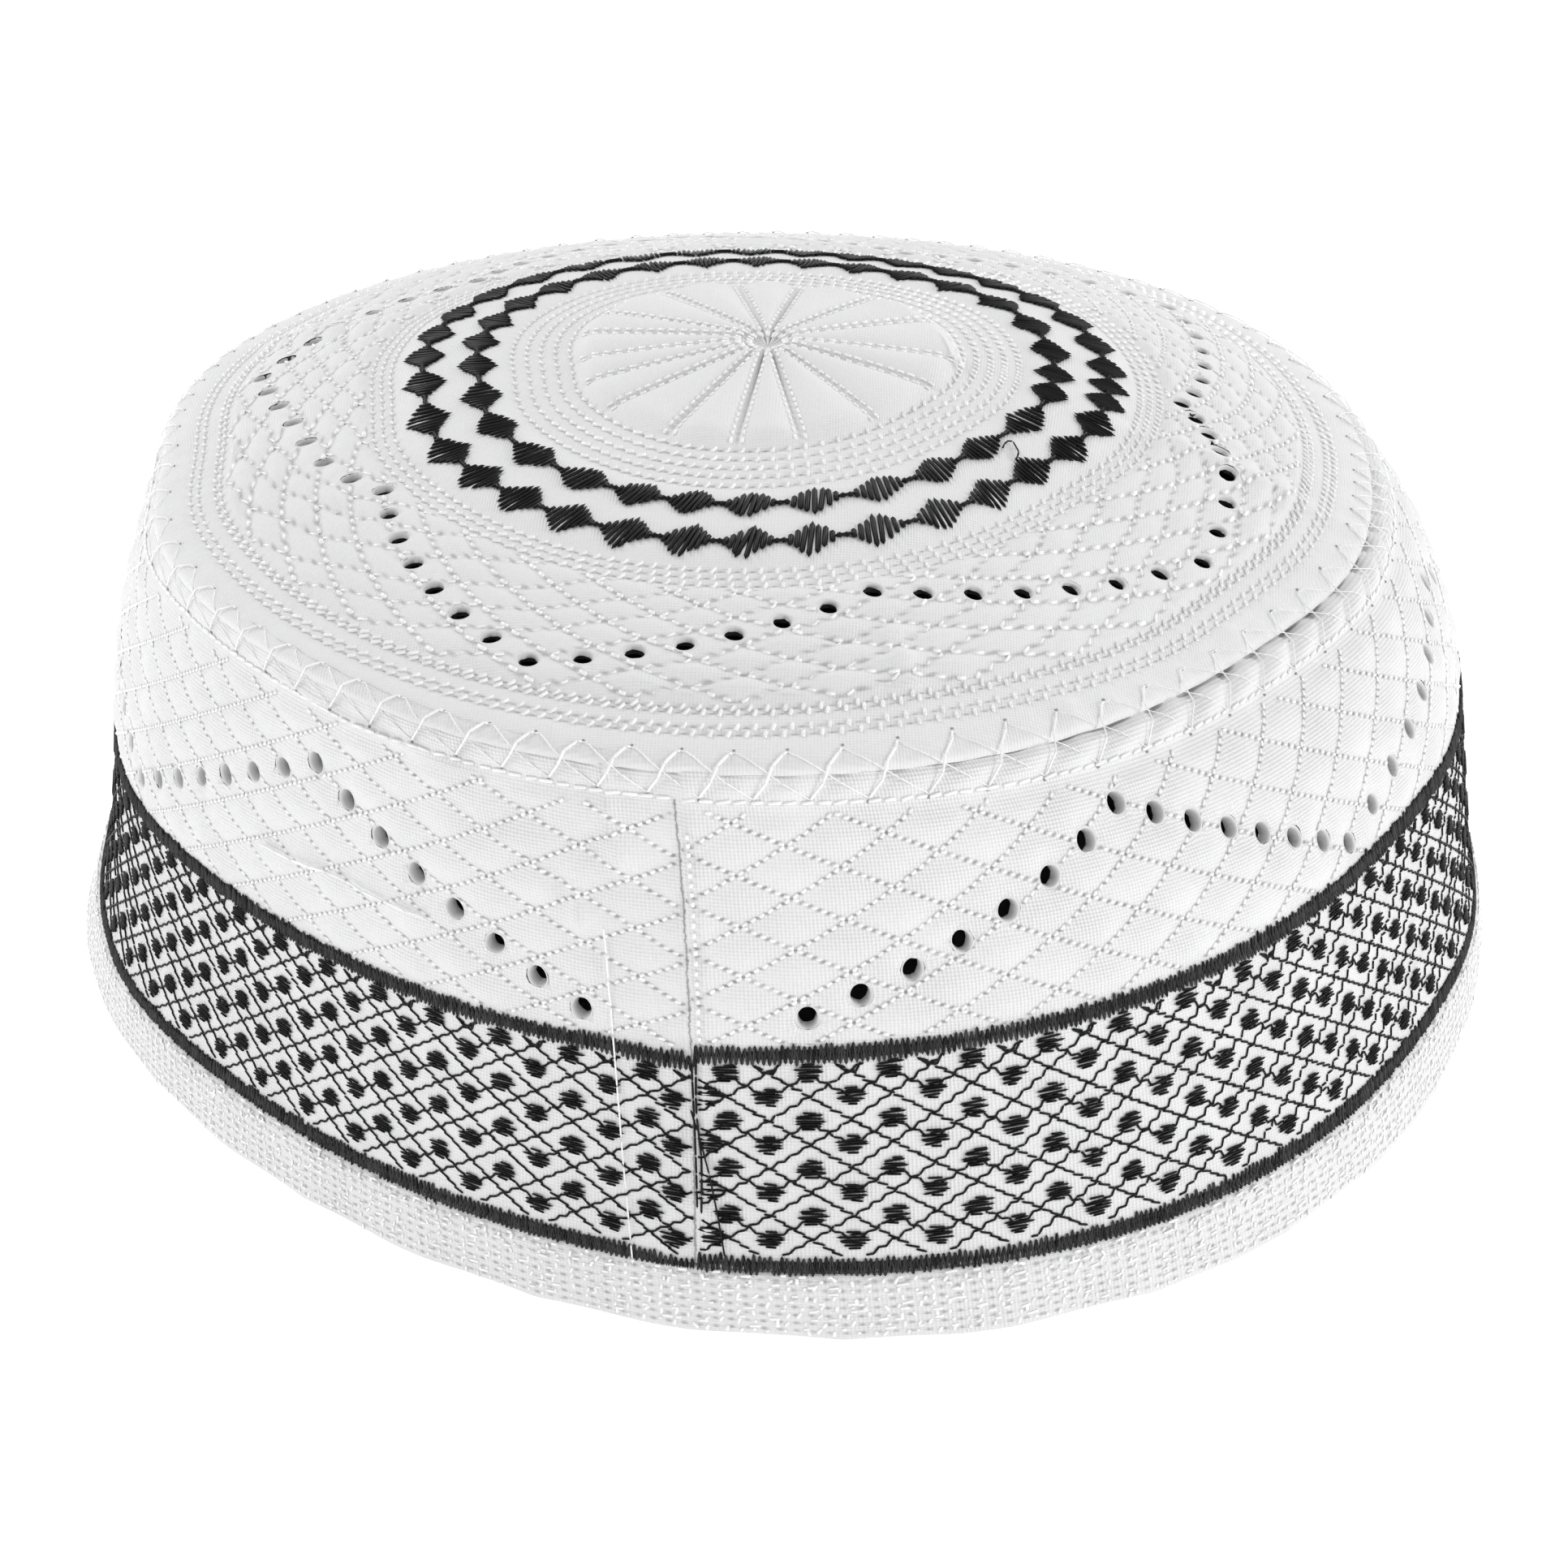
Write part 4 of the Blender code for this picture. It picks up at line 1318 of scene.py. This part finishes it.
ALONG_REACH = (0.2, 0.7)


def hem_section(level):
    """Height share of the hem's section, and how far it stands out, at a level round it."""
    corner = np.arange(HEM_CORNERS + 1) / HEM_CORNERS
    loop = np.array(HEM_PROFILE + HEM_PROFILE[:1])
    return np.interp(level, corner, loop[:, 0]), np.interp(level, corner, loop[:, 1])


def hem_skin(angle, level):
    rise, out = hem_section(level)
    foot = HEM_FOOT_LIFT * np.abs(np.sin(angle * 9) * np.sin(angle * 17 + 1)) * (1 - rise) ** 3
    return side_shape(angle, foot + HEM_TOP * rise) + around(angle, out, 0 * angle)


def hem_sewing(angle, level, face_level):
    """Counts of rows and of stitches passed, and 1 on the outer face."""
    rows = (hem_section(level)[0] * HEM_TOP - HEM_FIRST_ROW) / HEM_ROW_PITCH
    first, last = HEM_FACE_CORNERS
    outer = (face_level > first / HEM_CORNERS) & (face_level < last / HEM_CORNERS)
    return np.stack([rows, angle * HEM_STITCHES / (2 * pi), 1.0 + 0 * angle], -1) * outer[:, None]


bm, mesh = sheet_of_cloth("hem_cloth", hem_skin, HEM_LEVELS, HEM_COLUMNS,
                          lambda a, s: (a * RIM_RADIUS, s * 20.0), hem_sewing)
bmesh.ops.recalc_face_normals(bm, faces=bm.faces)
hem_cotton = cotton("hem_cotton", pitch=0.86, weave=0.2, depth=0.08, per_edge=1, line_reach=0.30, pit=0.50)
hem_cloth = finished("hem_cloth", bm, mesh, hem_cotton)
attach(hem_cloth, "root")
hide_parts("hem")


def hem_face(angle, height):
    return side_shape(angle, height) + side_outward(angle, height) * HEM_FACE_OUT


def hem_stitches():
    """White strokes between the needle pits: an upright one for each, and half as many that lie along."""
    row, place = np.meshgrid(np.arange(HEM_ROWS), np.arange(HEM_STITCHES), indexing="ij")
    row, place = row.ravel(), place.ravel()
    angle = (place + 0.5 + rng.normal(0, 0.16, len(row))) * 2 * pi / HEM_STITCHES
    height = HEM_FIRST_ROW + row * HEM_ROW_PITCH + rng.normal(0, 0.13, len(row))
    reach = rng.uniform(*UPRIGHT_REACH, len(row))
    upright = tilted((hem_face(angle, height - reach), hem_face(angle, height + reach),
                      side_outward(angle, height)), rng.normal(UPRIGHT_LEAN, 0.3, len(row)))
    row, place = row[::2], place[::2]
    angle = (place + rng.uniform(0, 2, len(row))) * 2 * pi / HEM_STITCHES
    height = HEM_FIRST_ROW + (row + 0.5) * HEM_ROW_PITCH + rng.normal(0, 0.1, len(row))
    reach = rng.uniform(*ALONG_REACH, len(row)) / RIM_RADIUS
    along = tilted((hem_face(angle - reach, height), hem_face(angle + reach, height),
                    side_outward(angle, height)), 0.1)
    return [upright, along]


hem_stitching = sewn("hem_stitching", hem_stitches(), white_thread, width=0.46, height=0.26, sink=0.10)

# Floor, light and camera.
# A plain white table top in a bright white room, with two lamps above and behind the cap and one at
# each side. The table top glows a little, but not under the cap, where it is dark grey: a painted shadow for
# the cap's closed inside.
GLOW = 0.5
TABLE_RADIUS = 3.0
FLOOR_CORNERS = 180
INSIDE_THE_HEM = 1.2
floor_mesh = bpy.data.meshes.new("floor")
bm = bmesh.new()
turn = np.arange(FLOOR_CORNERS) * 2 * pi / FLOOR_CORNERS
under_cap = side_shape(turn, 0 * turn) * (1 - INSIDE_THE_HEM / RIM_RADIUS) * MM
inner = [bm.verts.new((x, y, 0)) for x, y, _ in under_cap]
outer = [bm.verts.new((x, y, 0)) for x, y, _ in around(turn, TABLE_RADIUS, 0.0)]
bm.faces.new(inner).material_index = 1
for k in range(-1, len(turn) - 1):
    bm.faces.new((inner[k], outer[k], outer[k + 1], inner[k + 1]))
bm.to_mesh(floor_mesh)
bm.free()
floor = bpy.data.objects.new("floor", floor_mesh)
bpy.context.scene.collection.objects.link(floor)
floor_mesh.materials.append(Finish("table_top", 0.9, Base_Color=(0.9, 0.9, 0.9, 1.0),
                                   Emission_Color=(1.0, 1.0, 1.0, 1.0), Emission_Strength=GLOW).material)
# Painted shadow: the table under the cap is dark grey.
floor_mesh.materials.append(Finish("painted_shadow_under_cap", 0.9, Base_Color=(0.2, 0.2, 0.2, 1.0)).material)

ROOM_LIGHT = 0.66
world = bpy.data.worlds.new("room")
world.use_nodes = True
world.node_tree.nodes["Background"].inputs["Color"].default_value = (1.0, 1.0, 1.0, 1.0)
world.node_tree.nodes["Background"].inputs["Strength"].default_value = ROOM_LIGHT
bpy.context.scene.world = world
LAMP_COLUMNS = ("name", "place", "size", "power")
LAMPS = (
    ("key_lamp", (-0.45, 0.55, 0.60), 0.25, 2.5),
    ("back_lamp", (0.55, 0.85, 0.45), 0.40, 2.0),
    ("left_lamp", (-0.95, -0.35, 0.30), 0.60, 2.4),
    ("right_lamp", (1.05, -0.45, 0.35), 0.50, 5.4),
)
for row in LAMPS:
    facts = dict(zip(LAMP_COLUMNS, row))
    lamp_data = bpy.data.lights.new(facts["name"], "AREA")
    lamp_data.size = facts["size"]
    lamp_data.energy = facts["power"]
    lamp = bpy.data.objects.new(facts["name"], lamp_data)
    lamp.location = facts["place"]
    aim = Vector((0, 0, 0.03)) - lamp.location
    lamp.rotation_euler = aim.to_track_quat("-Z", "Y").to_euler()
    bpy.context.scene.collection.objects.link(lamp)

# The camera's focal length and the picture's side are in pixels, and its distance is in metres.
FOCUS = 4495.4
PICTURE = 1932
CAMERA_RISE = radians(29.57)
CAMERA_ROLL = radians(1.46)
CAMERA_DISTANCE = 0.45822
TARGET = Vector((0.63, 1.87, 14.58)) * MM
camera_data = bpy.data.cameras.new("camera")
camera_data.sensor_width = 36.0
camera_data.lens = FOCUS / PICTURE * 36.0
camera_data.clip_start = 0.01
camera = bpy.data.objects.new("camera", camera_data)
turn = Matrix.Rotation(pi / 2 - CAMERA_RISE, 4, "X") @ Matrix.Rotation(-CAMERA_ROLL, 4, "Z")
camera.matrix_world = Matrix.Translation(TARGET) @ turn @ Matrix.Translation((0, 0, CAMERA_DISTANCE))
bpy.context.scene.collection.objects.link(camera)
bpy.context.scene.camera = camera
bpy.context.scene.view_settings.view_transform = "Standard"
bpy.context.scene.view_settings.look = "None"
